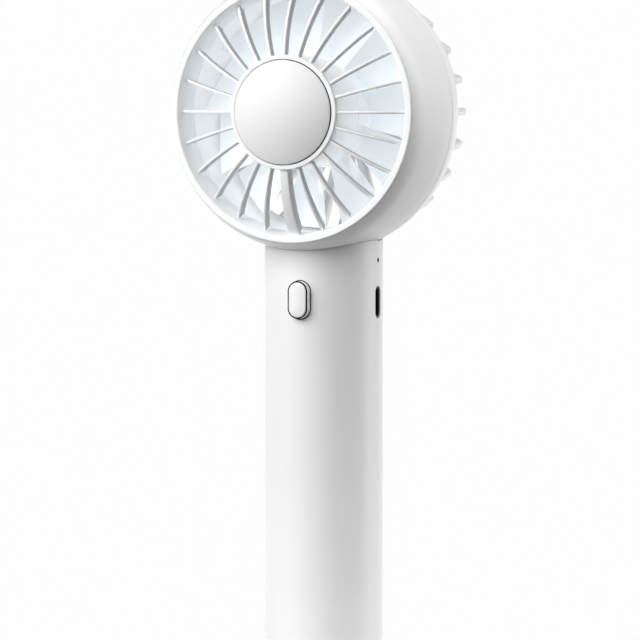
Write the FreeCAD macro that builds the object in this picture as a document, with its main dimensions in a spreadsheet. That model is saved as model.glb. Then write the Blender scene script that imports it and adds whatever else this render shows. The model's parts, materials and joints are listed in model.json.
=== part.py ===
import FreeCAD, Part
import math
import os
from types import SimpleNamespace

import Sketcher

# Handheld electric fan: a drum-shaped head with a radial grille on a round handle.
# The handle's axis is +Z, its flat foot stands on Z = 0, and the fan blows towards -Y.
# Head pieces are drawn lying on their back: locally +Z points forward and +Y points up.

SIZES = {
    # Whole object
    "head_height": 170.0,
    "handle_radius": 17.0,
    "handle_wall": 1.7,
    "fit_gap": 0.1,
    # Drum housing, along the head axis: positive is forward
    "drum_front": 22.8,
    "drum_front_radius": 37.5,
    "drum_shoulder": 17.0,
    "drum_shoulder_radius": 39.5,
    "drum_back": 0.4,
    "drum_back_radius": 40.4,
    "drum_wall": 1.6,
    "drum_front_bend": 14.5,
    "drum_side_bend": 150.0,
    "drum_front_bore": 35.7,
    "drum_lip": 1.6,
    # Neck, the spigot below the drum that the handle slides over
    "neck_bottom": 123.4,
    "neck_roof": 128.6,
    "neck_wall": 1.8,
    "saddle_gap": 0.25,
    # Front grille
    "rim_front": 23.5,
    "rim_radius": 37.0,
    "rim_inner": 35.35,
    "rim_seam": 22.9,
    "rim_round": 0.3,
    "rim_step": 20.5,
    "duct_radius": 34.3,
    "duct_wall": 1.2,
    "duct_back": -5.5,
    "duct_front": 14.8,
    "duct_throat": 17.0,
    "fin_count": 24.0,
    "fin_thick": 0.9,
    "fin_depth": 3.3,
    "fin_hub_front": 28.3,
    "fin_rim_front": 21.2,
    "fin_bend": 35.0,
    "spoke_hub_width": 2.5,
    "spoke_rim_width": 3.3,
    "spoke_depth": 5.0,
    "spoke_slot": 1.2,
    "hub_front": 28.9,
    "hub_radius": 16.4,
    "hub_back": 12.5,
    "hub_wall": 1.4,
    "hub_ledge": 26.5,
    "hub_ledge_radius": 14.2,
    "hub_floor": 15.0,
    "hub_floor_thick": 1.5,
    "cap_seat": 15.15,
    # Front cap
    "cap_radius": 14.95,
    "cap_crown": 33.1,
    "cap_wall": 1.4,
    # Rear grille
    "back_ring_front": 0.1,
    "back_ring_shoulder": -2.8,
    "back_ring_shoulder_radius": 40.15,
    "back_ring_back": -5.5,
    "back_ring_radius": 39.6,
    "back_ring_inner": 38.1,
    "back_ring_bend": 16.0,
    "back_side_bend": 130.0,
    "back_spigot_radius": 38.6,
    "back_spigot_front": 3.2,
    "back_fin_radius": 36.4,
    "back_fin_thick": 2.1,
    "back_fin_back": -20.9,
    "back_fin_round": 2.7,
    "back_hub_radius": 12.5,
    "back_hub_wall": 1.4,
    # Motor
    "flange_radius": 9.0,
    "sleeve_radius": 3.5,
    "sleeve_back": 4.8,
    "bearing_radius": 2.5,
    "bearing_length": 2.5,
    "bearing_front_top": 14.7,
    "bearing_back_top": 7.5,
    "bearing_ball": 0.31,
    "shaft_radius": 1.0,
    "shaft_front": 15.8,
    "shaft_back": 0.6,
    "shaft_gap": 0.04,
    "motor_screw_pitch": 7.0,
    "phase_pin_pitch": 9.8,
    "stator_radius": 11.5,
    "stator_low": 5.6,
    "stator_high": 11.6,
    "tooth_count": 9.0,
    "tooth_width": 2.2,
    "coil_thick": 0.9,
    "magnet_radius": 13.6,
    "magnet_thick": 1.5,
    "rotor_radius": 14.4,
    "rotor_wall": 0.8,
    "rotor_low": 2.2,
    "rotor_high": 12.0,
    # Impeller
    "impeller_radius": 15.9,
    "impeller_front": 11.2,
    "blade_count": 11.0,
    "blade_tip": 33.3,
    "blade_thick": 1.1,
    "blade_middle": 3.4,
    # Handle furniture: heights above the foot
    "button_height": 116.3,
    "button_width": 6.1,
    "button_length": 10.8,
    "button_gap": 0.3,
    "button_front": 19.1,
    "port_height": 115.4,
    "port_width": 8.94,
    "port_thick": 3.26,
    "port_slot_width": 9.3,
    "port_slot_thick": 3.4,
    "led_height": 127.5,
    "led_pipe_radius": 0.55,
    # Foot
    "foot_pad_radius": 14.0,
    "foot_pad_thick": 1.0,
    "cap_rim_low": 0.4,
    "cap_top": 2.4,
    # Battery and frame inside the handle
    "cell_radius": 10.6,
    "cell_low": 12.0,
    "cell_length": 70.2,
    "frame_radius": 14.8,
    "frame_wall": 1.5,
    "frame_low": 9.0,
    "frame_middle": 84.0,
    "frame_top": 121.3,
    "cap_screw_pitch": 7.0,
    "board_front": 2.85,
    "board_thick": 1.2,
    "wire_radius": 0.42,
}

ORIGIN = -1
X_AXIS = -1
Y_AXIS = -2
START = 1
END = 2
TINY = 1e-9
MAX_FILES = 60


class Dim:
    """A length held both as a number and as the expression that works it out on the sheet."""

    def __init__(self, value, text):
        self.value = float(value)
        self.text = text

    def __add__(self, other):
        other = as_dim(other)
        return Dim(self.value + other.value, f"({self.text} + {other.text})")

    def __sub__(self, other):
        other = as_dim(other)
        return Dim(self.value - other.value, f"({self.text} - {other.text})")

    def __rsub__(self, other):
        return as_dim(other) - self

    def __mul__(self, other):
        other = as_dim(other)
        return Dim(self.value * other.value, f"({self.text} * {other.text})")

    def __truediv__(self, other):
        other = as_dim(other)
        return Dim(self.value / other.value, f"({self.text} / {other.text})")

    def __neg__(self):
        return Dim(-self.value, f"(0 - {self.text})")


def as_dim(size):
    """A plain number becomes a length with no link to the sheet."""
    return size if isinstance(size, Dim) else Dim(size, repr(float(size)))


def make_sheet(document):
    """The spreadsheet of driving dimensions, in millimetres."""
    sheet = document.addObject("Spreadsheet::Sheet", "Sizes")
    for row, (name, number) in enumerate(SIZES.items(), start=1):
        sheet.set(f"A{row}", name)
        sheet.set(f"B{row}", str(number))
        sheet.setAlias(f"B{row}", name)
    document.recompute()
    return sheet


def read_sizes(sheet):
    """Every alias of the sheet as a Dim, under its own name."""
    return SimpleNamespace(**{name: Dim(getattr(sheet, name), f"Sizes.{name}") for name in SIZES})


doc = FreeCAD.newDocument("HandheldFan")
size = read_sizes(make_sheet(doc))
nodes = []


# Helpers for bodies, sketches and features


def bind(target, path, dim):
    """Ties one property of an object to the sheet."""
    target.setExpression(path, as_dim(dim).text)


def new_body(label):
    """A body drawn in the frame of the whole object."""
    body = doc.addObject("PartDesign::Body", label)
    body.Label = label
    nodes.append(body)
    return body


def head_body(label):
    """A body drawn in the head's frame: local +Z is the direction of the air, local +Y is up."""
    body = new_body(label)
    body.Placement = FreeCAD.Placement(
        FreeCAD.Vector(0, 0, size.head_height.value), FreeCAD.Rotation(FreeCAD.Vector(1, 0, 0), 90)
    )
    bind(body, "Placement.Base.z", size.head_height)
    return body


def origin_item(body, role):
    return next(item for item in body.Origin.OriginFeatures if item.Role == role)


def new_sketch(body, plane, offset=0):
    """A sketch on one of the body's own planes, moved along the plane's normal by the offset."""
    sketch = body.newObject("Sketcher::SketchObject", f"{body.Label}_sketch")
    sketch.AttachmentSupport = [(origin_item(body, plane), "")]
    sketch.MapMode = "FlatFace"
    if as_dim(offset).value:
        bind(sketch, "AttachmentOffset.Base.z", offset)
    return sketch


def pin_point(sketch, geometry, end, place):
    """Holds one end of a sketch element at a place given by two lengths."""
    for kind, axis, dim in (("DistanceX", Y_AXIS, place[0]), ("DistanceY", X_AXIS, place[1])):
        dim = as_dim(dim)
        if abs(dim.value) < TINY:
            sketch.addConstraint(Sketcher.Constraint("PointOnObject", geometry, end, axis))
            continue
        index = sketch.addConstraint(
            Sketcher.Constraint(kind, ORIGIN, START, geometry, end, dim.value)
        )
        bind(sketch, f"Constraints[{index}]", dim)


def set_radius(sketch, geometry, radius):
    radius = as_dim(radius)
    index = sketch.addConstraint(Sketcher.Constraint("Radius", geometry, radius.value))
    bind(sketch, f"Constraints[{index}]", radius)


def arc_between(first, last, radius):
    """The anticlockwise arc of less than half a turn from one point to another."""
    chord = last - first
    half = chord.Length / 2
    across = FreeCAD.Vector(-chord.y, chord.x, 0).normalize()
    centre = (first + last) * 0.5 + across * math.sqrt(max(radius**2 - half**2, 0.0))
    start = math.atan2(first.y - centre.y, first.x - centre.x)
    stop = math.atan2(last.y - centre.y, last.x - centre.x)
    return Part.ArcOfCircle(Part.Circle(centre, FreeCAD.Vector(0, 0, 1), radius), start, stop)


def outline(sketch, corners):
    """A closed outline through corners counted anticlockwise.

    A corner is (across, up) or (across, up, bend). With a bend, the side that follows the corner
    is an arc of that radius, which swells outward if the bend is positive and inward if negative.
    """
    places = [(as_dim(corner[0]), as_dim(corner[1])) for corner in corners]
    points = [FreeCAD.Vector(across.value, up.value, 0) for across, up in places]
    sides = []
    for number, corner in enumerate(corners):
        first = points[number]
        last = points[(number + 1) % len(points)]
        bend = as_dim(corner[2]) if len(corner) > 2 else None
        if bend is None:
            sides.append((sketch.addGeometry(Part.LineSegment(first, last)), START, END))
        elif bend.value > 0:
            sides.append((sketch.addGeometry(arc_between(first, last, bend.value)), START, END))
        else:
            sides.append((sketch.addGeometry(arc_between(last, first, -bend.value)), END, START))
    for number, (index, first_end, last_end) in enumerate(sides):
        next_index, next_end, _ = sides[(number + 1) % len(sides)]
        sketch.addConstraint(
            Sketcher.Constraint("Coincident", index, last_end, next_index, next_end)
        )
        pin_point(sketch, index, first_end, places[number])
        if len(corners[number]) > 2:
            bend = as_dim(corners[number][2])
            set_radius(sketch, index, bend if bend.value > 0 else -bend)


def circle(sketch, across, up, radius):
    radius = as_dim(radius)
    centre = FreeCAD.Vector(as_dim(across).value, as_dim(up).value, 0)
    index = sketch.addGeometry(Part.Circle(centre, FreeCAD.Vector(0, 0, 1), radius.value))
    pin_point(sketch, index, 3, (across, up))
    set_radius(sketch, index, radius)


def box_outline(sketch, left, low, right, high):
    outline(sketch, [(left, low), (right, low), (right, high), (left, high)])


def rounded_outline(sketch, across, up, width, height, corner):
    """A rectangle about a centre, with quarter-circle corners."""
    across, up, corner = as_dim(across), as_dim(up), as_dim(corner)
    left, right = across - as_dim(width) / 2, across + as_dim(width) / 2
    low, high = up - as_dim(height) / 2, up + as_dim(height) / 2
    outline(
        sketch,
        [
            (left + corner, low),
            (right - corner, low, corner),
            (right, low + corner),
            (right, high - corner, corner),
            (right - corner, high),
            (left + corner, high, corner),
            (left, high - corner),
            (left, low + corner, corner),
        ],
    )


def add_feature(body, kind, sketch):
    """A sketch-based feature at the end of the body."""
    feature = body.newObject(f"PartDesign::{kind}", f"{body.Label}_{kind.lower()}")
    feature.Profile = (sketch, [""])
    sketch.Visibility = False
    return feature


def pad(body, sketch, length, reverse=False, symmetric=False):
    feature = add_feature(body, "Pad", sketch)
    feature.SideType = "Symmetric" if symmetric else "One side"
    feature.Reversed = reverse
    bind(feature, "Length", length)
    return feature


def volume_of(body):
    doc.recompute()
    return body.Shape.Volume


def must_cut(body, feature, before):
    """Stops the build if a cutting feature took nothing away."""
    if volume_of(body) > before - TINY:
        raise RuntimeError(f"{feature.Label} removes nothing from {body.Label}")
    return feature


def pocket(body, sketch, length, reverse=False, symmetric=False):
    before = volume_of(body)
    feature = add_feature(body, "Pocket", sketch)
    feature.SideType = "Symmetric" if symmetric else "One side"
    feature.Reversed = reverse
    bind(feature, "Length", length)
    return must_cut(body, feature, before)


def revolve(body, sketch, axis="V_Axis"):
    feature = add_feature(body, "Revolution", sketch)
    feature.ReferenceAxis = (sketch, [axis])
    feature.Angle = 360
    return feature


def groove(body, sketch, axis="V_Axis"):
    before = volume_of(body)
    feature = add_feature(body, "Groove", sketch)
    feature.ReferenceAxis = (sketch, [axis])
    feature.Angle = 360
    return must_cut(body, feature, before)


def polar(body, features, count, axis="Z_Axis"):
    """Repeats features evenly round one of the body's axes."""
    pattern = body.newObject("PartDesign::PolarPattern", f"{body.Label}_pattern")
    pattern.Originals = features
    pattern.Axis = (origin_item(body, axis), [""])
    pattern.Angle = 360
    bind(pattern, "Occurrences", count)
    body.Tip = pattern
    return pattern


def ring(body, outer, inner, low, high, across=0, up=0):
    """A tube, or a disc where the inner radius is zero, standing on the body's XY plane."""
    sketch = new_sketch(body, "XY_Plane", low)
    circle(sketch, across, up, outer)
    if as_dim(inner).value > 0:
        circle(sketch, across, up, inner)
    return pad(body, sketch, as_dim(high) - low)


def block(body, left, near, right, far, low, high):
    """A rectangular block standing on the body's XY plane."""
    sketch = new_sketch(body, "XY_Plane", low)
    box_outline(sketch, left, near, right, far)
    return pad(body, sketch, as_dim(high) - low)


def round_hole(body, across, up, radius, low, high):
    """A round hole along local Z, between two heights."""
    sketch = new_sketch(body, "XY_Plane", low)
    circle(sketch, across, up, radius)
    return pocket(body, sketch, as_dim(high) - low, reverse=True)


def turned(body, corners):
    """A solid of revolution about local Z, from (radius, height) corners."""
    sketch = new_sketch(body, "XZ_Plane")
    outline(sketch, corners)
    return revolve(body, sketch)


# Curves that several pieces share


def drum_side(inset):
    """The drum's outer line from front to back, moved inward by an inset, as outline corners."""
    return [
        (size.drum_front_radius - inset, size.drum_front),
        (size.drum_shoulder_radius - inset, size.drum_shoulder),
        (size.drum_back_radius - inset, size.drum_back),
    ]


def saddle_line(gap):
    """The line that clears the rear grille by a gap, from behind the head forward to the drum."""
    return [
        (size.back_fin_radius + gap, -30),
        (size.back_fin_radius + gap, size.back_fin_back + size.back_fin_round, size.back_side_bend),
        (size.back_ring_radius + gap, size.back_ring_back, size.back_side_bend),
        (size.drum_back_radius + gap, size.drum_back),
    ]


def fin_front(radius):
    """How far forward the front edge of the grille fins lies at a distance from the head axis."""
    near = FreeCAD.Vector(size.hub_radius.value - 0.4, size.fin_hub_front.value, 0)
    far = FreeCAD.Vector(size.rim_inner.value - 0.35, size.fin_rim_front.value, 0)
    centre = arc_between(far, near, size.fin_bend.value).Center
    return centre.y + math.sqrt(size.fin_bend.value**2 - (radius - centre.x) ** 2)


# Head: housing and grilles


def make_head_housing():
    """The drum shell with the neck spigot under it."""
    body = head_body("head_housing")
    spigot = size.handle_radius - size.handle_wall - size.fit_gap
    sketch = new_sketch(body, "XZ_Plane", size.head_height - size.neck_bottom)
    circle(sketch, 0, 0, spigot)
    pad(body, sketch, size.head_height - size.neck_bottom - 30, reverse=True)
    inside = new_sketch(body, "XZ_Plane")
    front, shoulder, back = drum_side(size.drum_wall / 2)
    outline(
        inside,
        [
            (0, -30),
            *saddle_line(size.saddle_gap),
            (*back, size.drum_side_bend),
            (*shoulder, size.drum_front_bend),
            front,
            (0, size.drum_front),
        ],
    )
    groove(body, inside)
    front, shoulder, back = drum_side(0)
    inner_front, inner_shoulder, inner_back = drum_side(size.drum_wall)
    turned(
        body,
        [
            inner_back,
            (*back, size.drum_side_bend),
            (*shoulder, size.drum_front_bend),
            front,
            (size.drum_front_bore, size.drum_front),
            (size.drum_front_bore, size.drum_front - size.drum_lip),
            (inner_front[0] + 0.6, size.drum_front - size.drum_lip, -size.drum_front_bend),
            (*inner_shoulder, -size.drum_side_bend),
        ],
    )
    cavity = new_sketch(body, "XZ_Plane", size.head_height - size.neck_bottom)
    circle(cavity, 0, 0, spigot - size.neck_wall)
    pocket(body, cavity, size.neck_roof - size.neck_bottom)
    for side in (-1, 1):
        boss = new_sketch(body, "XZ_Plane", size.head_height - size.neck_bottom - 1.5)
        circle(boss, 6 * side, -8, 2.2)
        pad(body, boss, size.neck_roof - size.neck_bottom - 1, reverse=True)
        pilot = new_sketch(body, "XZ_Plane", size.head_height - size.neck_bottom - 1.5)
        circle(pilot, 6 * side, -8, 0.9)
        pocket(body, pilot, 5)
    lead_hole = new_sketch(body, "XZ_Plane", size.head_height - size.neck_roof + 1)
    circle(lead_hole, 0, 9.6, 3.4)
    pocket(body, lead_hole, 8)
    light_hole = new_sketch(body, "YZ_Plane")
    circle(light_hole, size.led_height - size.head_height, 0, size.led_pipe_radius + 0.05)
    pocket(body, light_hole, size.handle_radius, reverse=True)


def make_front_grille():
    """Rim, throat, fins, wide spoke and motor hub, moulded in one."""
    body = head_body("front_grille")
    fin = new_sketch(body, "YZ_Plane")
    hub_end = size.hub_radius - 0.4
    rim_end = size.rim_inner - 0.35
    outline(
        fin,
        [
            (hub_end, size.fin_hub_front - size.fin_depth),
            (hub_end + 0.01, size.fin_hub_front - size.fin_depth, -size.fin_bend),
            (rim_end, size.fin_rim_front - size.fin_depth),
            (rim_end, size.fin_rim_front, size.fin_bend),
            (hub_end, size.fin_hub_front),
        ],
    )
    plate = pad(body, fin, size.fin_thick, symmetric=True)
    polar(body, [plate], size.fin_count)
    turned(
        body,
        [
            (size.duct_radius, size.duct_front + 0.2),
            (size.duct_radius + size.duct_wall, size.duct_front + 0.2),
            (size.duct_radius + size.duct_wall, size.rim_seam),
            (size.drum_front_radius - 0.05, size.rim_seam, 3),
            (size.rim_radius, size.rim_front - 0.25, size.rim_round),
            (size.rim_radius - 0.25, size.rim_front),
            (size.rim_inner + 0.45, size.rim_front, 0.7),
            (size.rim_inner, size.rim_front - 0.6),
            (size.rim_inner - 0.15, size.rim_step),
            (size.duct_radius + 0.15, size.rim_step - 0.6),
            (size.duct_radius, size.duct_throat),
        ],
    )
    inner = size.hub_radius - size.hub_wall
    floor_top = size.hub_floor + size.hub_floor_thick
    turned(
        body,
        [
            (3.2, size.hub_floor),
            (inner, size.hub_floor),
            (inner, size.hub_back),
            (size.hub_radius, size.hub_back),
            (size.hub_radius, size.hub_front - 0.4, 0.4),
            (size.hub_radius - 0.4, size.hub_front),
            (size.cap_seat, size.hub_front),
            (size.cap_seat, size.hub_ledge),
            (size.hub_ledge_radius, size.hub_ledge),
            (size.hub_ledge_radius, floor_top),
            (3.2, floor_top),
        ],
    )
    make_wide_spoke(body)
    hook = block(
        body, size.duct_radius + 0.6, -4, size.duct_radius + size.duct_wall + 0.8, 4,
        size.drum_front - size.drum_lip - 1.8, size.drum_front - size.drum_lip - 0.1,
    )
    polar(body, [hook], 4)
    posts = ring(body, 1.6, 0, floor_top, 19.4, 0, 11)
    pins = ring(body, 0.7, 0, 19.4, 21.2, 0, 11)
    polar(body, [posts, pins], 3)
    screw_hole = round_hole(body, 0, size.motor_screw_pitch, 1.0, size.hub_floor, floor_top)
    phase_hole = round_hole(body, 0, -size.phase_pin_pitch, 0.7, size.hub_floor, floor_top)
    polar(body, [screw_hole, phase_hole], 3)
    lead_exit = new_sketch(body, "XZ_Plane", size.hub_ledge_radius - 0.5)
    box_outline(lead_exit, -0.8, 23.2, 0.8, 26.3)
    pocket(body, lead_exit, 4, reverse=True)
    lead_entry = new_sketch(body, "XZ_Plane", size.duct_radius - 1)
    box_outline(lead_entry, -0.8, 15.0, 0.8, 20.3)
    pocket(body, lead_entry, 3, reverse=True)


def make_air_duct():
    """The tube round the blades, pushed in behind the front grille."""
    body = head_body("air_duct")
    outer = size.duct_radius + size.duct_wall
    ring(body, outer, size.duct_radius, size.duct_back, size.duct_front)


def make_wide_spoke(body):
    """The broad bottom spoke, hollow at the back for the motor's leads."""
    spoke = new_sketch(body, "YZ_Plane")
    hub_end = -(size.hub_radius - 0.4)
    rim_end = -(size.rim_inner - 0.35)
    depth = size.spoke_depth
    outline(
        spoke,
        [
            (rim_end, size.fin_rim_front - depth, -size.fin_bend),
            (hub_end, size.fin_hub_front - depth),
            (hub_end, size.fin_hub_front, size.fin_bend),
            (rim_end, size.fin_rim_front),
        ],
    )
    pad(body, spoke, size.spoke_rim_width, symmetric=True)
    taper = (size.spoke_rim_width - size.spoke_hub_width) / 2
    for side in (-1, 1):
        trim = new_sketch(body, "XY_Plane", size.fin_rim_front - depth - 1)
        edge = size.spoke_rim_width / 2 * side
        near = (edge - taper * side, -(size.hub_radius + 0.02))
        corners = [near, (edge + 0.2 * side, -(size.hub_radius + 0.02)), (edge, -size.duct_radius)]
        outline(trim, corners if side < 0 else corners[::-1])
        pocket(body, trim, 20, reverse=True)
    slot = new_sketch(body, "YZ_Plane")
    outline(
        slot,
        [
            (rim_end, size.fin_rim_front - depth - 1),
            (hub_end, size.fin_hub_front - depth - 1),
            (hub_end, size.fin_hub_front - 1.2, size.fin_bend),
            (rim_end, size.fin_rim_front - 1.2),
        ],
    )
    pocket(body, slot, size.spoke_slot, symmetric=True)


def make_front_cap():
    """The smooth dome that closes the hub, with three legs that grip inside it."""
    body = head_body("front_cap")
    wall = size.cap_wall
    rise = size.cap_crown - size.hub_front
    bend = (size.cap_radius * size.cap_radius + rise * rise) / (rise * 2)
    turned(
        body,
        [
            (0, size.cap_crown - wall),
            (7.0, size.cap_crown - wall - 0.95),
            (size.cap_radius - wall, size.hub_front - 0.75),
            (size.cap_radius - wall, size.hub_ledge + 0.1),
            (size.cap_radius, size.hub_ledge + 0.1),
            (size.cap_radius, size.hub_front, bend),
            (0, size.cap_crown),
        ],
    )
    leg = block(body, 12.9, -2, size.hub_ledge_radius - 0.2, 2, 21.8, size.hub_front - 0.9)
    polar(body, [leg], 3)


def make_rear_grille():
    """A ring that carries on the drum's side, 24 thick fins behind it and a small hub."""
    body = head_body("rear_grille")
    back = size.back_fin_back
    fin = new_sketch(body, "XZ_Plane")
    outline(
        fin,
        [
            (size.back_hub_radius - 0.6, back),
            (size.back_fin_radius - size.back_fin_round, back, size.back_fin_round),
            (size.back_fin_radius, back + size.back_fin_round, size.back_side_bend),
            (size.back_ring_radius, size.back_ring_back),
            (size.back_ring_radius - 0.4, size.back_ring_back + 2),
            (size.back_ring_inner - 0.2, size.back_ring_back + 2),
            (size.duct_radius + 0.6, size.back_ring_back - 3.5),
            (size.duct_radius - 2.0, -12.0, -24),
            (size.back_hub_radius - 0.6, back + 5.2),
        ],
    )
    plate = pad(body, fin, size.back_fin_thick, symmetric=True)
    polar(body, [plate], size.fin_count)
    turned(
        body,
        [
            (size.back_ring_inner, size.back_ring_back),
            (size.back_ring_radius, size.back_ring_back, size.back_side_bend),
            (size.back_ring_shoulder_radius, size.back_ring_shoulder, size.back_ring_bend),
            (size.drum_back_radius, size.back_ring_front),
            (size.back_spigot_radius, size.back_ring_front),
            (size.back_spigot_radius, size.back_spigot_front),
            (size.back_spigot_radius - 1.2, size.back_spigot_front),
            (size.back_spigot_radius - 1.2, size.back_ring_front - 1.2),
        ],
    )
    wall = size.back_hub_wall
    turned(
        body,
        [
            (0, back),
            (size.back_hub_radius - 0.6, back, 0.6),
            (size.back_hub_radius, back + 0.6),
            (size.back_hub_radius, back + 6.4),
            (size.back_hub_radius - wall, back + 6.4),
            (size.back_hub_radius - wall, back + wall),
            (0, back + wall),
        ],
    )


# Motor


def make_motor_bracket():
    """Flange and bearing sleeve that carry the stator."""
    body = head_body("motor_bracket")
    sleeve = size.sleeve_radius
    seat = size.bearing_radius
    flange_back = size.hub_floor - 1.6
    front_step = size.bearing_front_top - size.bearing_length
    turned(
        body,
        [
            (seat, size.sleeve_back),
            (sleeve, size.sleeve_back),
            (sleeve, flange_back),
            (size.flange_radius, flange_back),
            (size.flange_radius, size.hub_floor),
            (seat, size.hub_floor),
            (seat, front_step),
            (seat - 0.5, front_step),
            (seat - 0.5, size.bearing_back_top),
            (seat, size.bearing_back_top),
        ],
    )
    hole = round_hole(body, 0, size.motor_screw_pitch, 0.8, flange_back, size.hub_floor)
    polar(body, [hole], 3)


def make_bearing(label, top):
    """A miniature ball bearing: two races and seven balls."""
    body = head_body(label)
    low = top - size.bearing_length
    bore = size.shaft_radius + size.shaft_gap
    outer = size.bearing_radius
    ring(body, outer, outer - 0.45, low, top)
    ring(body, bore + 0.38, bore, low, top)
    ball = body.newObject("PartDesign::AdditiveSphere", f"{label}_ball")
    ball.AttachmentSupport = [(origin_item(body, "XY_Plane"), "")]
    ball.MapMode = "FlatFace"
    bind(ball, "Radius", size.bearing_ball)
    bind(ball, "AttachmentOffset.Base.x", (outer - 0.45 + bore + 0.38) / 2)
    bind(ball, "AttachmentOffset.Base.z", top - size.bearing_length / 2)
    polar(body, [ball], 7)


def make_motor_screws():
    """Three screws that hold the bracket to the hub floor."""
    body = head_body("motor_screws")
    floor_top = size.hub_floor + size.hub_floor_thick
    shank = ring(body, 0.8, 0, size.hub_floor - 1.6, floor_top + 0.1, 0, size.motor_screw_pitch)
    head = ring(body, 1.7, 0, floor_top, floor_top + 1.1, 0, size.motor_screw_pitch)
    drive = round_hole(body, 0, size.motor_screw_pitch, 0.6, floor_top + 0.4, floor_top + 1.1)
    polar(body, [shank, head, drive], 3)


def make_stator_core():
    """The laminated core: a ring with nine T-shaped teeth."""
    body = head_body("stator_core")
    low, high = size.stator_low, size.stator_high
    tooth = block(body, 5.0, -size.tooth_width / 2, 10.9, size.tooth_width / 2, low, high)
    shoe = new_sketch(body, "XY_Plane", low)
    outline(
        shoe,
        [
            (10.1, 2.6, -14),
            (10.1, -2.6),
            (11.1, -2.9, size.stator_radius),
            (11.1, 2.9),
        ],
    )
    polar(body, [tooth, pad(body, shoe, high - low)], size.tooth_count)
    ring(body, 5.6, size.sleeve_radius, low, high)


def make_stator_windings():
    """Nine copper coils, one round each tooth."""
    body = head_body("stator_windings")
    coil = size.coil_thick
    side = size.tooth_width / 2
    sketch = new_sketch(body, "YZ_Plane", 6.6)
    gap = 0.05
    rounded_outline(
        sketch, 0, (size.stator_low + size.stator_high) / 2,
        (side + coil) * 2, size.stator_high - size.stator_low + coil * 2, 0.8,
    )
    box_outline(sketch, -side - gap, size.stator_low - gap, side + gap, size.stator_high + gap)
    polar(body, [pad(body, sketch, 3.2)], size.tooth_count)


def make_rotor_cup():
    """The drawn steel cup that carries the magnets and is pressed on the shaft."""
    body = head_body("rotor_cup")
    outer, wall = size.rotor_radius, size.rotor_wall
    turned(
        body,
        [
            (size.shaft_radius, size.shaft_back),
            (2.4, size.shaft_back),
            (2.4, size.rotor_low),
            (outer, size.rotor_low),
            (outer, size.rotor_high),
            (outer - wall, size.rotor_high),
            (outer - wall, size.rotor_low + wall),
            (size.shaft_radius, size.rotor_low + wall),
        ],
    )


def make_magnet_ring():
    body = head_body("magnet_ring")
    outer = size.magnet_radius
    ring(body, outer, outer - size.magnet_thick, size.rotor_low + 2, size.rotor_high)


def make_motor_shaft():
    """The steel shaft, with a groove near its front end for the clip."""
    body = head_body("motor_shaft")
    radius, front = size.shaft_radius, size.shaft_front
    turned(
        body,
        [
            (0, size.shaft_back),
            (radius, size.shaft_back),
            (radius, front - 1.0),
            (radius - 0.2, front - 1.0),
            (radius - 0.2, front - 0.6),
            (radius, front - 0.6),
            (radius, front - 0.2),
            (radius - 0.2, front),
            (0, front),
        ],
    )


def make_shaft_clip():
    """The spring clip in the shaft's groove, open on one side."""
    body = head_body("shaft_clip")
    low, high = size.shaft_front - 1.0, size.shaft_front - 0.6
    ring(body, 2.0, size.shaft_radius - 0.2, low, high)
    gap = new_sketch(body, "XY_Plane", low)
    box_outline(gap, -0.5, 0.2, 0.5, 2.5)
    pocket(body, gap, high - low, reverse=True)


def blade_section(body, radius, chord, pitch, camber):
    """One curved blade section on a plane square to the radius.

    The chord is tilted by the pitch from the plane of rotation, and the hollow side faces forward.
    """
    sketch = new_sketch(body, "YZ_Plane", radius)
    middle = size.blade_middle.value
    thick = size.blade_thick.value
    half = chord / 2
    tilt = math.radians(pitch)
    across = (math.cos(tilt) * half, math.sin(tilt) * half)
    side = (-math.sin(tilt) * thick / 2, math.cos(tilt) * thick / 2)
    outline(
        sketch,
        [
            (-across[0] - side[0], middle - across[1] - side[1], camber + thick),
            (across[0] - side[0], middle + across[1] - side[1]),
            (across[0] + side[0], middle + across[1] + side[1], -camber),
            (-across[0] + side[0], middle - across[1] + side[1]),
        ],
    )
    return sketch


def make_impeller():
    """Eleven twisted blades round a cup-shaped hub."""
    body = head_body("impeller")
    sections = [
        blade_section(body, 11.0, 12.0, 46.0, 22.0),
        blade_section(body, 22.0, 17.0, 37.0, 30.0),
        blade_section(body, 34.5, 23.0, 31.0, 42.0),
    ]
    loft = body.newObject("PartDesign::AdditiveLoft", "impeller_blade")
    loft.Profile = (sections[0], [""])
    loft.Sections = [(section, [""]) for section in sections[1:]]
    polar(body, [loft], size.blade_count)
    inner = size.rotor_radius
    tips = new_sketch(body, "XZ_Plane")
    outline(tips, [(size.blade_tip, -12), (46, -12), (46, 22), (size.blade_tip, 22)])
    groove(body, tips)
    core = new_sketch(body, "XZ_Plane")
    outline(core, [(0, -12), (inner + 0.5, -12), (inner + 0.5, 22), (0, 22)])
    groove(body, core)
    turned(
        body,
        [
            (0, -0.8),
            (4.0, -0.8),
            (4.0, 0.8),
            (size.impeller_radius - 1.4, 0.8, 1.4),
            (size.impeller_radius, 2.2),
            (size.impeller_radius, size.impeller_front),
            (inner, size.impeller_front),
            (inner, size.rotor_low),
            (2.4, size.rotor_low),
            (2.4, 0.4),
            (0, 0.4),
        ],
    )


def make_motor_board():
    """The round driver board, staked on the hub's three posts."""
    body = head_body("motor_board")
    ring(body, 13.4, 0, 19.4, 20.4)
    hole = round_hole(body, 0, 11, 0.75, 19.4, 20.4)
    pin_hole = round_hole(body, 0, -size.phase_pin_pitch, 0.35, 19.4, 20.4)
    polar(body, [hole, pin_hole], 3)


def make_motor_board_parts():
    """Driver chip, capacitors and the lead socket."""
    body = head_body("motor_board_parts")
    block(body, -2.5, -1.5, 2.5, 3.5, 20.4, 21.4)
    ring(body, 1.6, 0, 20.4, 23.6, -8.5, -1)
    ring(body, 1.6, 0, 20.4, 23.6, 8.5, -1)
    block(body, -7.4, -8.4, -3.2, -5.4, 20.4, 22.9)


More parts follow.
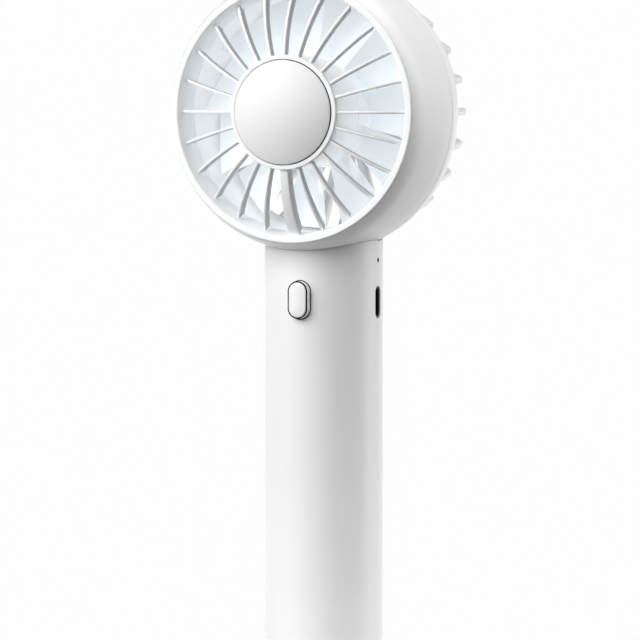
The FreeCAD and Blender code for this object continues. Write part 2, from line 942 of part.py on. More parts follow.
def make_phase_pins():
    """Three pins from the coils to the driver board."""
    body = head_body("phase_pins")
    pin = ring(body, 0.32, 0, size.stator_high + size.coil_thick, 20.9, 0, -size.phase_pin_pitch)
    polar(body, [pin], 3)


# Handle


def handle_saddle(body):
    """Cuts the body's top to the drum's outline, about the head axis."""
    sketch = new_sketch(body, "YZ_Plane")
    axis_height = size.head_height
    front, shoulder, back = drum_side(-size.fit_gap / 2)
    behind = saddle_line(size.saddle_gap)[::-1]
    outline(
        sketch,
        [
            (-30, axis_height),
            (-30, axis_height - front[0]),
            (-front[1], axis_height - front[0], size.drum_front_bend),
            (-shoulder[1], axis_height - shoulder[0], size.drum_side_bend),
            (-back[1], axis_height - back[0]),
            (-size.drum_back, axis_height - behind[0][0]),
            (-size.back_ring_back, axis_height - behind[1][0], size.back_side_bend),
            (-(size.back_fin_back + size.back_fin_round), axis_height - behind[2][0]),
            (30, axis_height - behind[3][0]),
            (30, axis_height),
        ],
    )
    axis = sketch.addGeometry(
        Part.LineSegment(
            FreeCAD.Vector(-10, axis_height.value, 0), FreeCAD.Vector(10, axis_height.value, 0)
        ),
        True,
    )
    pin_point(sketch, axis, START, (-10, axis_height))
    pin_point(sketch, axis, END, (10, axis_height))
    groove(body, sketch, "Axis0")


def make_handle_tube():
    """The round handle shell, open at the foot and saddled to the drum at the top."""
    body = new_body("handle_tube")
    ring(
        body, size.handle_radius, size.handle_radius - size.handle_wall,
        size.cap_top, size.head_height - 20,
    )
    handle_saddle(body)
    button_hole = new_sketch(body, "XZ_Plane")
    gap = size.button_gap * 2
    rounded_outline(
        button_hole, 0, size.button_height,
        size.button_width + gap, size.button_length + gap, size.button_width / 2 + 0.25,
    )
    pocket(body, button_hole, size.handle_radius + 1, reverse=True)
    port_hole = new_sketch(body, "YZ_Plane")
    rounded_outline(
        port_hole, 0, size.port_height, size.port_slot_thick, size.port_slot_width,
        size.port_slot_thick / 2 - 0.05,
    )
    pocket(body, port_hole, size.handle_radius + 1, reverse=True)
    light_hole = new_sketch(body, "YZ_Plane")
    circle(light_hole, 0, size.led_height, size.led_pipe_radius + 0.05)
    pocket(body, light_hole, size.handle_radius + 1, reverse=True)


def make_bottom_cap():
    """The foot: it closes the handle and is screwed to the frame under the pad."""
    body = new_body("bottom_cap")
    spigot = size.handle_radius - size.handle_wall - size.fit_gap
    pad_seat = size.foot_pad_radius + 0.2
    edge = 1.1
    turned(
        body,
        [
            (0, size.foot_pad_thick),
            (pad_seat, size.foot_pad_thick),
            (pad_seat, size.cap_rim_low),
            (size.handle_radius - edge, size.cap_rim_low, edge),
            (size.handle_radius, size.cap_rim_low + edge),
            (size.handle_radius, size.cap_top),
            (spigot, size.cap_top),
            (spigot, 8.0),
            (spigot - 1.4, 8.0),
            (spigot - 1.4, 3.0),
            (0, 3.0),
        ],
    )
    for side in (-1, 1):
        centre = size.cap_screw_pitch * side
        round_hole(body, centre, 0, 1.05, size.foot_pad_thick, 3.0)
        round_hole(body, centre, 0, 2.2, size.foot_pad_thick, 1.9)


def make_foot_pad():
    body = new_body("foot_pad")
    ring(body, size.foot_pad_radius, 0, 0, size.foot_pad_thick)


def make_cap_screws():
    """Two countersunk screws hidden under the foot pad."""
    body = new_body("cap_screws")
    for side in (-1, 1):
        centre = size.cap_screw_pitch * side
        ring(body, 2.0, 0, size.foot_pad_thick + 0.05, 1.9, centre, 0)
        ring(body, 0.9, 0, 1.8, 8.4, centre, 0)
        round_hole(body, centre, 0, 0.7, size.foot_pad_thick + 0.05, 1.6)


def make_frame():
    """The inner frame: a half-round spine with three plates and the posts for its screws."""
    body = new_body("inner_frame")
    outer, wall = size.frame_radius, size.frame_wall
    top = size.frame_top + wall
    spine = new_sketch(body, "XY_Plane", size.frame_low)
    outline(
        spine,
        [
            (12.8, 7.43, outer),
            (-12.8, 7.43),
            (-11.4, 6.84, -(outer - wall)),
            (11.4, 6.84),
        ],
    )
    pad(body, spine, top - size.frame_low)
    ring(body, outer, 0, size.frame_low, size.frame_low + wall)
    for low in (size.frame_middle, size.frame_top):
        ring(body, outer, 0, low, low + wall)
    for side in (-1, 1):
        ring(body, 2.4, 0, 3.0, size.frame_low + 0.5, size.cap_screw_pitch * side, 0)
        round_hole(body, size.cap_screw_pitch * side, 0, 0.9, 3.0, 8.4)
        block(
            body, 8 * side - 2, -(size.board_front - size.board_thick), 8 * side + 2, 4,
            size.frame_middle + 1, 93.5,
        )
        round_hole(body, 6 * side, 8, 1.2, size.frame_top, top)
    board_slot = new_sketch(body, "XY_Plane", size.frame_top)
    box_outline(board_slot, -9.5, -9.5, 13.0, 2.6)
    box_outline(board_slot, -16, -16, 16, -12.4)
    pocket(body, board_slot, wall, reverse=True)
    lead_slot = new_sketch(body, "XY_Plane", size.frame_middle)
    box_outline(lead_slot, 11.2, -1.2, 16, 1.2)
    box_outline(lead_slot, -16, -1.2, -11.2, 1.2)
    pocket(body, lead_slot, wall, reverse=True)
    for side in (-1, 1):
        pilot = new_sketch(body, "XZ_Plane", size.board_front - size.board_thick)
        circle(pilot, 8 * side, 90, 0.8)
        pocket(body, pilot, 5)


def make_frame_screws():
    """Two screws up through the frame's top plate into the neck."""
    body = new_body("frame_screws")
    plate_top = size.frame_top + size.frame_wall
    for side in (-1, 1):
        ring(body, 2.0, 0, size.frame_top - 1.3, size.frame_top, 6 * side, 8)
        ring(body, 0.9, 0, size.frame_top - 0.1, plate_top + 4.5, 6 * side, 8)
        round_hole(body, 6 * side, 8, 0.7, size.frame_top - 1.3, size.frame_top - 0.6)


def make_battery_cell():
    """A 21700 lithium-ion cell with its raised positive button."""
    body = new_body("battery_cell")
    low, high = size.cell_low, size.cell_low + size.cell_length
    radius = size.cell_radius
    turned(
        body,
        [
            (0, low),
            (radius - 0.6, low, 0.6),
            (radius, low + 0.6),
            (radius, high - 1.4, 0.6),
            (radius - 0.6, high - 0.8),
            (4.2, high - 0.8),
            (3.8, high),
            (0, high),
        ],
    )


def make_cell_insulators():
    """Fibre washers on the two ends of the cell."""
    body = new_body("cell_insulators")
    top = size.cell_low + size.cell_length - 0.8
    ring(body, size.cell_radius - 0.8, 4.3, top, top + 0.4)
    ring(body, size.cell_radius - 0.8, 4.3, size.cell_low - 0.4, size.cell_low)


def make_battery_tabs():
    """Nickel strips welded to the cell's ends, each turned up beside it."""
    body = new_body("battery_tabs")
    high = size.cell_low + size.cell_length
    block(body, -12.4, -3, 4, 3, high, high + 0.3)
    block(body, -12.7, -3, -12.4, 3, high - 3.5, high + 0.3)
    block(body, -4, -3, 11.6, 3, size.cell_low - 0.75, size.cell_low - 0.45)
    ring(body, 3.0, 0, size.cell_low - 0.5, size.cell_low)
    block(body, 11.3, -3, 11.6, 3, size.cell_low - 0.75, size.cell_low + 4)


def make_main_board():
    """The control board: the switch is on its front, the charging port on its back."""
    body = new_body("main_board")
    board = new_sketch(body, "XZ_Plane", size.board_front - size.board_thick)
    outline(
        board,
        [(-12.6, 86), (12.8, 86), (12.8, 120.8), (11.9, 120.8), (11.9, 128.4), (-7.5, 128.4),
         (-7.5, 120.8), (-12.6, 120.8)],
    )
    pad(body, board, size.board_thick)
    for side in (-1, 1):
        hole = new_sketch(body, "XZ_Plane", size.board_front - size.board_thick)
        circle(hole, 8 * side, 90, 1.0)
        pocket(body, hole, size.board_thick, reverse=True)


def make_board_screws():
    body = new_body("board_screws")
    for side in (-1, 1):
        shank = new_sketch(body, "XZ_Plane", size.board_front - size.board_thick - 4)
        circle(shank, 8 * side, 90, 0.8)
        pad(body, shank, size.board_thick + 4)
        head = new_sketch(body, "XZ_Plane", size.board_front)
        circle(head, 8 * side, 90, 1.6)
        pad(body, head, 1.0)


def board_part(body, left, low, right, high, thick, back=False):
    """A part standing on the main board's front face, or on its back face."""
    face = size.board_front - size.board_thick if back else size.board_front
    sketch = new_sketch(body, "XZ_Plane", face)
    box_outline(sketch, left, low, right, high)
    pad(body, sketch, thick, reverse=back)


def make_board_parts():
    """Controller, charger and converter chips, coil, capacitors and lead sockets."""
    body = new_body("board_parts")
    board_part(body, -4.5, 97, 0.5, 102, 0.9)
    board_part(body, 3.5, 104, 6.5, 107.5, 0.9)
    board_part(body, -10.8, 103.5, -6.8, 108.5, 3.0)
    board_part(body, 5.5, 95, 10.5, 100, 2.6)
    board_part(body, -11, 112, -9.4, 115, 0.9)
    board_part(body, -11, 117, -9.4, 119.5, 0.9)
    board_part(body, 6, 112, 7.6, 115, 0.9)
    board_part(body, -11.8, 95.6, -5.8, 99.6, 3.2, back=True)
    board_part(body, 5.8, 95.6, 11.8, 99.6, 3.2, back=True)


def make_usb_shell():
    """The USB-C socket's metal shell, its long side upright and its mouth towards +X."""
    body = new_body("usb_shell")
    back = 9.0
    sketch = new_sketch(body, "YZ_Plane", back)
    rounded_outline(
        sketch, 0, size.port_height, size.port_thick, size.port_width, size.port_thick / 2 - 0.05
    )
    pad(body, sketch, 16.6 - back)
    mouth = new_sketch(body, "YZ_Plane", back + 1.2)
    rounded_outline(
        mouth, 0, size.port_height, size.port_thick - 0.6, size.port_width - 0.6,
        size.port_thick / 2 - 0.35,
    )
    pocket(body, mouth, 8, reverse=True)


def make_usb_tongue():
    body = new_body("usb_tongue")
    sketch = new_sketch(body, "YZ_Plane", 10.2)
    box_outline(sketch, -0.35, size.port_height - 3.3, 0.35, size.port_height + 3.3)
    pad(body, sketch, 5.2)


def make_status_led():
    """The side-looking charge light on the back of the board."""
    body = new_body("status_led")
    light = new_sketch(body, "YZ_Plane", 10.4)
    box_outline(light, -(size.board_front - size.board_thick), 126.7, 0.9, 128.3)
    pad(body, light, 1.4)


def make_light_pipe():
    body = new_body("light_pipe")
    pipe = new_sketch(body, "YZ_Plane", 11.9)
    circle(pipe, 0, size.led_height, size.led_pipe_radius)
    pad(body, pipe, size.handle_radius - 11.95)


def make_tact_switch():
    """The switch's square body, with the well that its plunger slides in."""
    body = new_body("tact_switch")
    sketch = new_sketch(body, "XZ_Plane", size.board_front)
    centre = size.button_height
    box_outline(sketch, -3, centre - 3, 3, centre + 3)
    pad(body, sketch, 3.5)
    well = new_sketch(body, "XZ_Plane", size.board_front + 3.5)
    circle(well, 0, centre, 1.8)
    pocket(body, well, 2.5)


def make_switch_plunger():
    body = new_body("switch_plunger")
    sketch = new_sketch(body, "XZ_Plane", size.board_front + 1.65)
    circle(sketch, 0, size.button_height, 1.7)
    pad(body, sketch, 2.95)


def make_power_button():
    """The pill-shaped button, with a flange inside the handle and a stem to the switch."""
    body = new_body("power_button")
    width, length = size.button_width, size.button_length
    height = size.button_height
    flange_back = 13.6
    stem = new_sketch(body, "XZ_Plane", size.board_front + 4.65)
    circle(stem, 0, height, 1.6)
    pad(body, stem, flange_back + 0.1 - size.board_front - 4.65)
    flange = new_sketch(body, "XZ_Plane", flange_back)
    rounded_outline(flange, 0, height, width + 2.4, length + 2.4, width / 2 + 1.1)
    pad(body, flange, 0.8)
    pill = new_sketch(body, "XZ_Plane", flange_back)
    rounded_outline(pill, 0, height, width, length, width / 2 - 0.05)
    front = pad(body, pill, size.button_front - flange_back)
    doc.recompute()
    edges = [
        f"Edge{number}"
        for number, edge in enumerate(front.Shape.Edges, start=1)
        if abs(edge.BoundBox.YMin + size.button_front.value) < TINY * 100
        and edge.BoundBox.YLength < TINY * 100
    ]
    rounding = body.newObject("PartDesign::Fillet", "power_button_rounding")
    rounding.Base = (front, edges)
    rounding.Radius = 0.5


# Leads, held along their whole route


def lead_path(points):
    """Straight runs joined by the largest tangent arcs that the runs allow."""
    corners = [FreeCAD.Vector(*point) for point in points]
    edges = []
    start = corners[0]
    for before, corner, after in zip(corners, corners[1:], corners[2:]):
        inward = (before - corner).normalize()
        outward = (after - corner).normalize()
        turn = math.pi - inward.getAngle(outward)
        reach = 0.45 * min((before - corner).Length, (after - corner).Length)
        radius = reach / math.tan(turn / 2)
        first = corner + inward * reach
        last = corner + outward * reach
        middle_way = (inward + outward).normalize()
        middle = corner + middle_way * (math.hypot(radius, reach) - radius)
        edges.append(Part.LineSegment(start, first).toShape())
        edges.append(Part.Arc(first, middle, last).toShape())
        start = last
    edges.append(Part.LineSegment(start, corners[-1]).toShape())
    return Part.Wire(edges)


def lead_tube(points, radius):
    """A round wire along a lead path."""
    path = lead_path(points)
    way = FreeCAD.Vector(*points[1]) - FreeCAD.Vector(*points[0])
    end = Part.Wire([Part.makeCircle(radius, FreeCAD.Vector(*points[0]), way)])
    tube = path.makePipeShell([end], True, True)
    expected = math.pi * radius**2 * path.Length
    if abs(tube.Volume - expected) > 0.02 * expected:
        raise RuntimeError(f"A lead holds {tube.Volume:.2f}, not {expected:.2f} cubic millimetres")
    return tube


def lead_node(label, routes):
    feature = doc.addObject("Part::Feature", label)
    feature.Label = label
    feature.Shape = Part.makeCompound([lead_tube(route, size.wire_radius.value) for route in routes])
    feature.Placement = FreeCAD.Placement()
    nodes.append(feature)


def make_motor_leads():
    """Two leads from the main board through the neck, throat and wide spoke to the motor."""
    spread = size.wire_radius.value + 0.08
    head = size.head_height.value
    depth = 2.9
    in_spoke = [33.2, 27.0, 20.5]
    routes = []
    for side in (-1, 1):
        route = [
            (-8.8 + side * spread, -7.0, 106.0),
            (-8.4 + side * spread, -7.4, 114.5),
            (-5.0 + side * spread, -8.6, 122.5),
            (-1.2 + side * spread * 0.7, -10.2, 128.6),
            (0.0, -11.6 - side * spread, head - 37.0 + side * spread * 0.6),
            (0.0, -16.2 + side * spread, head - 36.2 + side * spread * 0.8),
        ]
        route += [(0.0, -(fin_front(radius) - depth) + side * spread, head - radius)
                  for radius in in_spoke]
        route += [
            (0.0, -(fin_front(16.4) - depth) + side * spread * 0.9, head - 15.0),
            (-1.6, -24.6 + side * spread, head - 10.6),
            (-5.3 + side * spread, -23.4, head - 7.4),
        ]
        routes.append(route)
    lead_node("motor_leads", routes)


def make_battery_leads():
    """One lead from each tab up to its socket on the back of the main board."""
    top = size.cell_low.value + size.cell_length.value
    routes = [
        [(12.1, 0, 14.5), (12.4, 0, 45), (12.1, 0, 78), (12.2, 0.4, 90), (10.6, 2.0, 95.6)],
        [(-13.25, 0, top - 3), (-13.1, 0.2, 86.5), (-11.6, 1.2, 92), (-9.6, 2.2, 95.6)],
    ]
    lead_node("battery_leads", routes)


def make_all():
    for make in (
        make_head_housing, make_front_grille, make_air_duct, make_front_cap, make_rear_grille,
        make_motor_bracket, make_motor_screws, make_stator_core, make_stator_windings,
        make_rotor_cup, make_magnet_ring, make_motor_shaft, make_shaft_clip, make_impeller,
        make_motor_board, make_motor_board_parts, make_phase_pins, make_motor_leads,
        make_handle_tube, make_bottom_cap, make_foot_pad, make_cap_screws, make_frame,
        make_frame_screws, make_battery_cell, make_cell_insulators, make_battery_tabs,
        make_battery_leads, make_main_board, make_board_screws, make_board_parts,
        make_usb_shell, make_usb_tongue, make_status_led, make_light_pipe, make_tact_switch,
        make_switch_plunger, make_power_button,
    ):
        make()
    make_bearing("bearing_front", size.bearing_front_top)
    make_bearing("bearing_rear", size.bearing_back_top)


def check_document():
    """Stops if any object failed, or any node's shape is empty or invalid."""
    doc.recompute()
    for item in doc.Objects:
        if {"Invalid", "Error"} & set(item.State):
            raise RuntimeError(f"{item.Label} failed: {item.State}")
    for node in nodes:
        if node.Shape.isNull() or not node.Shape.isValid():
            raise RuntimeError(f"{node.Label} has no valid shape")


def write_nodes():
    os.makedirs("parts", exist_ok=True)
    if len(nodes) > MAX_FILES:
        raise RuntimeError(f"{len(nodes)} nodes are more than {MAX_FILES}")
    for node in nodes:
        node.Shape.exportStep(f"parts/{node.Label}.step")
        box = node.Shape.BoundBox
        print(
            f"{node.Label:18} {len(node.Shape.Solids):3} solids {node.Shape.Volume:9.1f} mm3"
            f"  x {box.XMin:.2f}..{box.XMax:.2f}  y {box.YMin:.2f}..{box.YMax:.2f}"
            f"  z {box.ZMin:.2f}..{box.ZMax:.2f}"
        )


make_all()
check_document()
write_nodes()
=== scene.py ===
import json
import math

import bmesh
import bpy
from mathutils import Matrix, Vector


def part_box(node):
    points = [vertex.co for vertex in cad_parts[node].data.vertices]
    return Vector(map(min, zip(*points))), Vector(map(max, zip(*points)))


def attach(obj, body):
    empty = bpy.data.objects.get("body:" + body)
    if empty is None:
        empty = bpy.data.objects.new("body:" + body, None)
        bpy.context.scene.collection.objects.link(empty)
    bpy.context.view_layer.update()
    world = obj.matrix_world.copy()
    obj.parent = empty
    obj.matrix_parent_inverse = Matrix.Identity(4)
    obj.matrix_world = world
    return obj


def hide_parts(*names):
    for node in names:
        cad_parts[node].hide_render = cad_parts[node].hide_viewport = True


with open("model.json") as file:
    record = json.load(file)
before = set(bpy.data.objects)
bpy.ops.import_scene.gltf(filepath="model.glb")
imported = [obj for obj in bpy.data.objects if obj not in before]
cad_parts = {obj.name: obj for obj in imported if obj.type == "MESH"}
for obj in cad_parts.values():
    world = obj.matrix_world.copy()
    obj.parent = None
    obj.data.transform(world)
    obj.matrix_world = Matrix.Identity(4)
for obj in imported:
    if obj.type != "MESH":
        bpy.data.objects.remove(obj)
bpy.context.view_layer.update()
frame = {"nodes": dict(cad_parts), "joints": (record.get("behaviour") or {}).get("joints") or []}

# A white handheld electric fan, rebuilt piece by piece round its CAD frame.
# Head pieces are turned about the head axis: "forward" is the way the air blows, towards -Y.

MM = 0.001
TAU = 2 * math.pi


def extent(node):
    """Size of a CAD node's box."""
    low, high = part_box(node)
    return high - low


def middle_height(node):
    low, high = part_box(node)
    return (low.z + high.z) / 2


def joint_place(name):
    return next(Vector(joint["pos_m"]) for joint in frame["joints"] if joint["name"] == name)


# Sizes taken from the frame
HEAD = joint_place("impeller_spin")
DRUM_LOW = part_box("head_housing")[0]
TUBE_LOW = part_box("handle_tube")[0]
BUTTON_LOW, BUTTON_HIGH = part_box("power_button")
PORT_LOW, PORT_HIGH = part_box("usb_shell")
BUTTON_CENTRE = middle_height("power_button")
PORT_CENTRE = middle_height("usb_shell")
LIGHT_CENTRE = middle_height("light_pipe")
HANDLE_RADIUS = extent("handle_tube").x / 2
BLADE_TIP = extent("impeller").x / 2

HANDLE_WALL = 1.7 * MM
HANDLE_BORE = HANDLE_RADIUS - HANDLE_WALL
SADDLE_GAP = 0.25 * MM
FIN_COUNT = 24
BLADE_COUNT = 11
TURNS = 192


# Lines: closed outlines as (radius, forward) corners, counted anticlockwise


def arc_points(first, last, bend, step=math.radians(3)):
    """Points strictly between two ends of an arc, which swells outward if bend is positive."""
    chord = last - first
    side = 1 if bend > 0 else -1
    radius = abs(bend)
    across = Vector((-chord.y, chord.x)).normalized() * side
    centre = (first + last) / 2 + across * math.sqrt(max(radius**2 - (chord.length / 2) ** 2, 0))
    start = math.atan2(first.y - centre.y, first.x - centre.x)
    turn = 2 * math.asin(min(1.0, chord.length / 2 / radius)) * side
    count = max(2, math.ceil(abs(turn) / step))
    angles = [start + turn * number / count for number in range(1, count)]
    return [centre + Vector((math.cos(angle), math.sin(angle))) * radius for angle in angles]


def traced(corners):
    """Corners in millimetres, some as (radius, forward, bend), as a fine line in metres."""
    line = []
    for number, corner in enumerate(corners):
        first = Vector(corner[:2]) * MM
        line.append(first)
        if len(corner) > 2:
            last = Vector(corners[(number + 1) % len(corners)][:2]) * MM
            line += arc_points(first, last, corner[2] * MM)
    return line


def along(line, index, way, reach):
    """The point a distance along a closed line from one of its points, and the points passed."""
    place = line[index]
    passed = 0
    left = reach
    while True:
        target = line[(index + way * (passed + 1)) % len(line)]
        length = (target - place).length
        if length >= left * 1.001:
            return place + (target - place) * (left / length), passed
        left -= length
        place = target
        passed += 1


LEAST_TURN = math.radians(20)
ROUND_STEPS = 4
EDGE_SHARE = 0.48
TINY = 1e-9


def softened(line, reach):
    """A closed line with each sharp corner off the axis rounded over a reach on both sides."""
    count = len(line)
    kept = [True] * count
    rounds = {}
    for index in range(count):
        before = line[index] - line[index - 1]
        after = line[(index + 1) % count] - line[index]
        if before.length < TINY or after.length < TINY or before.angle(after) < LEAST_TURN:
            continue
        if abs(line[index].x) < TINY:
            continue
        side = min(reach, before.length * EDGE_SHARE, after.length * EDGE_SHARE)
        if before.length < reach * 0.5:
            side = min(reach, after.length * EDGE_SHARE)
        start, passed_back = along(line, index, -1, side)
        stop, passed_on = along(line, index, 1, side)
        for step in range(1, passed_back + 1):
            kept[(index - step) % count] = False
        for step in range(1, passed_on + 1):
            kept[(index + step) % count] = False
        corner = line[index]
        rounds[index] = [
            start * (1 - t) ** 2 + corner * (2 * t * (1 - t)) + stop * t**2
            for t in (number / ROUND_STEPS for number in range(ROUND_STEPS + 1))
        ]
    soft = []
    for index in range(count):
        if index in rounds:
            soft += rounds[index]
        elif kept[index]:
            soft.append(line[index])
    return soft


# Surfaces


SHARP_ANGLE = math.radians(50)
WELD = 2e-6
SLIVER = 1e-7


class Surface:
    """Collects grids of points, then becomes one smooth-shaded object."""

    def __init__(self):
        self.points = []
        self.faces = []

    def grid(self, rows, wrap_along=False):
        """Joins equally long loops of points with four-sided faces."""
        start = len(self.points)
        width = len(rows[0])
        for row in rows:
            self.points += row
        row_count = len(rows) if wrap_along else len(rows) - 1
        for row in range(row_count):
            here = start + row * width
            there = start + (row + 1) % len(rows) * width
            for column in range(width):
                beside = (column + 1) % width
                self.faces.append((here + column, here + beside, there + beside, there + column))

    def cover(self, loop):
        """Closes a loop of points with one flat face."""
        start = len(self.points)
        self.points += loop
        self.faces.append(tuple(range(start, start + len(loop))))

    def finish(self, name, material, body, slot, *nodes):
        """Makes the object, gives it its material and lets it ride on a CAD body."""
        mesh = bpy.data.meshes.new(name)
        mesh.from_pydata([tuple(point) for point in self.points], [], self.faces)
        shape = bmesh.new()
        shape.from_mesh(mesh)
        bmesh.ops.remove_doubles(shape, verts=shape.verts, dist=WELD)
        bmesh.ops.dissolve_degenerate(shape, edges=shape.edges, dist=SLIVER)
        loose = [vert for vert in shape.verts if not vert.link_faces]
        bmesh.ops.delete(shape, geom=loose, context="VERTS")
        bmesh.ops.recalc_face_normals(shape, faces=shape.faces)
        shape.to_mesh(mesh)
        shape.free()
        mesh.shade_smooth()
        mesh.set_sharp_from_angle(angle=SHARP_ANGLE)
        mesh.materials.append(material)
        piece = bpy.data.objects.new(name, mesh)
        bpy.context.scene.collection.objects.link(piece)
        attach(piece, body)
        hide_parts(*nodes)


def head_point(radius, angle, forward):
    """A point about the head axis: angle 0 is +X and a quarter turn is up."""
    return HEAD + Vector((radius * math.cos(angle), -forward, radius * math.sin(angle)))


def post_point(radius, angle, height):
    """A point about the handle's axis."""
    return Vector((radius * math.cos(angle), radius * math.sin(angle), height))


def spin(surface, line, place=head_point):
    """Turns a closed line about an axis."""
    angles = [TAU * number / TURNS for number in range(TURNS)]
    rows = [[place(point.x, angle, point.y) for angle in angles] for point in line]
    surface.grid(rows, wrap_along=True)


def turned(name, corners, reach, material, slot, node, body="root", place=head_point):
    """One piece turned about an axis, from its corners in millimetres, rounded over a reach."""
    surface = Surface()
    spin(surface, softened(traced(corners), reach * MM), place)
    surface.finish(name, MATERIALS[material], body, slot, node)


def plate_rows(stations, corner, steps):
    """Loops round a thin plate, from stations (centre, across, deep, half width, half depth).

    Each loop is a rectangle with rounded corners, in the plane of the across and deep directions.
    """
    rows = []
    for centre, across, deep, half_width, half_depth in stations:
        loop = []
        bend = min(corner, half_width * 0.98, half_depth * 0.98)
        for quarter in range(4):
            middle_w = (half_width - bend) * (1 if quarter in (0, 3) else -1)
            middle_d = (half_depth - bend) * (1 if quarter < 2 else -1)
            for step in range(steps + 1):
                angle = (quarter + step / steps) * math.pi / 2
                offset = (
                    across * (middle_w + bend * math.cos(angle))
                    + deep * (middle_d + bend * math.sin(angle))
                )
                loop.append(centre + offset)
        rows.append(loop)
    return rows


def add_plate(surface, stations, corner, steps=3):
    """A closed plate through its stations."""
    rows = plate_rows(stations, corner, steps)
    surface.grid(rows)
    surface.cover(rows[0])
    surface.cover(rows[-1])


# Materials


class Finish:
    """A Principled material whose colour, roughness and bump come from procedural noise."""

    def __init__(self, name, colour, roughness, metallic=0.0, **sockets):
        self.material = bpy.data.materials.new(name)
        self.material.use_nodes = True
        self.nodes = self.material.node_tree.nodes
        self.links = self.material.node_tree.links
        self.shader = self.nodes["Principled BSDF"]
        self.shader.inputs["Base Color"].default_value = (*colour, 1.0)
        self.shader.inputs["Roughness"].default_value = roughness
        self.shader.inputs["Metallic"].default_value = metallic
        for socket, value in sockets.items():
            self.shader.inputs[socket.replace("_", " ")].default_value = value
        self.position = self.nodes.new("ShaderNodeTexCoord").outputs["Object"]
        self.last_normal = None

    def noise(self, scale, detail=3.0, stretch=(1, 1, 1), distortion=0.0):
        """A noise field in object space; scale is in waves per metre."""
        mapping = self.nodes.new("ShaderNodeMapping")
        mapping.inputs["Scale"].default_value = stretch
        field = self.nodes.new("ShaderNodeTexNoise")
        field.inputs["Scale"].default_value = scale
        field.inputs["Detail"].default_value = detail
        field.inputs["Distortion"].default_value = distortion
        self.links.new(self.position, mapping.inputs["Vector"])
        self.links.new(mapping.outputs["Vector"], field.inputs["Vector"])
        return field.outputs["Fac"]

    def cells(self, scale, feature):
        field = self.nodes.new("ShaderNodeTexVoronoi")
        field.feature = feature
        field.inputs["Scale"].default_value = scale
        self.links.new(self.position, field.inputs["Vector"])
        return field.outputs["Distance"]

    def bands(self, scale, axis):
        field = self.nodes.new("ShaderNodeTexWave")
        field.bands_direction = axis
        field.inputs["Scale"].default_value = scale
        self.links.new(self.position, field.inputs["Vector"])
        return field.outputs["Fac"]

    def tint(self, field, low, high, lows=0.3, highs=0.7):
        """The base colour runs between two colours as the field goes from lows to highs."""
        ramp = self.nodes.new("ShaderNodeValToRGB")
        ramp.color_ramp.elements[0].position = lows
        ramp.color_ramp.elements[0].color = (*low, 1.0)
        ramp.color_ramp.elements[1].position = highs
        ramp.color_ramp.elements[1].color = (*high, 1.0)
        self.links.new(field, ramp.inputs["Fac"])
        self.links.new(ramp.outputs["Color"], self.shader.inputs["Base Color"])

    def rough(self, field, low, high):
        """Roughness runs between two values with the field."""
        spread = self.nodes.new("ShaderNodeMapRange")
        spread.inputs["From Min"].default_value = 0.3
        spread.inputs["From Max"].default_value = 0.7
        spread.inputs["To Min"].default_value = low
        spread.inputs["To Max"].default_value = high
        self.links.new(field, spread.inputs["Value"])
        self.links.new(spread.outputs["Result"], self.shader.inputs["Roughness"])

    def bump(self, field, depth, strength):
        """Adds relief of a depth in metres; several reliefs build on each other."""
        relief = self.nodes.new("ShaderNodeBump")
        relief.inputs["Strength"].default_value = strength
        relief.inputs["Distance"].default_value = depth
        self.links.new(field, relief.inputs["Height"])
        if self.last_normal is not None:
            self.links.new(self.last_normal, relief.inputs["Normal"])
        self.last_normal = relief.outputs["Normal"]
        self.links.new(self.last_normal, self.shader.inputs["Normal"])


def lighter(colour, factor):
    return tuple(min(1.0, channel * factor) for channel in colour)


def moulded(name, colour, roughness, grain=2600.0, depth=6e-6, **sockets):
    """Moulded plastic: a fine spark-eroded grain over a faint flow mottling."""
    finish = Finish(name, colour, roughness, **sockets)
    flow = finish.noise(38.0, 2.0)
    grains = finish.noise(grain, 4.0)
    finish.tint(flow, lighter(colour, 0.985), lighter(colour, 1.012))
    finish.rough(grains, roughness * 0.9, roughness * 1.1)
    finish.bump(flow, depth * 1.5, 0.4)
    finish.bump(grains, depth, 0.6)
    return finish.material


def painted_glow_plastic(name, colour, glow, roughness=0.34, grain=3000.0, depth=4e-6, **sockets):
    """Moulded plastic with a painted glow: a uniform emission that brightens it, though it is no
    lamp.
    """
    return moulded(
        name, colour, roughness, grain, depth, Emission_Color=PAINTED_GLOW_COLOUR, Emission_Strength=glow, **sockets
    )


def metal(name, colour, roughness, stretch=(1, 1, 12)):
    """Turned or drawn metal with fine scratches one way."""
    finish = Finish(name, colour, roughness, metallic=1.0)
    scratches = finish.noise(1500.0, 4.0, stretch)
    finish.tint(scratches, lighter(colour, 0.85), lighter(colour, 1.1))
    finish.rough(scratches, roughness * 0.75, roughness * 1.3)
    finish.bump(scratches, 4e-6, 0.5)
    return finish.material


def circuit_board():
    """Solder mask over copper tracks."""
    finish = Finish("board_mask", (0.02, 0.16, 0.07), 0.32)
    tracks = finish.cells(420.0, "DISTANCE_TO_EDGE")
    finish.tint(tracks, (0.05, 0.30, 0.13), (0.02, 0.15, 0.065), 0.05, 0.12)
    finish.bump(tracks, 3e-5, 0.3)
    finish.bump(finish.noise(3000.0), 4e-6, 0.4)
    return finish.material


def coil_wire():
    """Enamelled wire laid side by side."""
    finish = Finish("coil_copper", (0.65, 0.27, 0.11), 0.3, metallic=1.0)
    turns = finish.bands(520.0, "DIAGONAL")
    finish.tint(turns, (0.35, 0.12, 0.05), (0.72, 0.32, 0.14), 0.1, 0.6)
    finish.bump(turns, 8e-5, 0.8)
    return finish.material


def laminated():
    """Stacked steel sheets seen edge on."""
    finish = Finish("core_laminations", (0.20, 0.21, 0.23), 0.45, metallic=0.9)
    sheets = finish.bands(640.0, "Y")
    finish.tint(sheets, (0.10, 0.10, 0.12), (0.28, 0.29, 0.31), 0.2, 0.6)
    finish.bump(sheets, 3e-5, 0.6)
    finish.rough(finish.noise(900.0), 0.35, 0.55)
    return finish.material


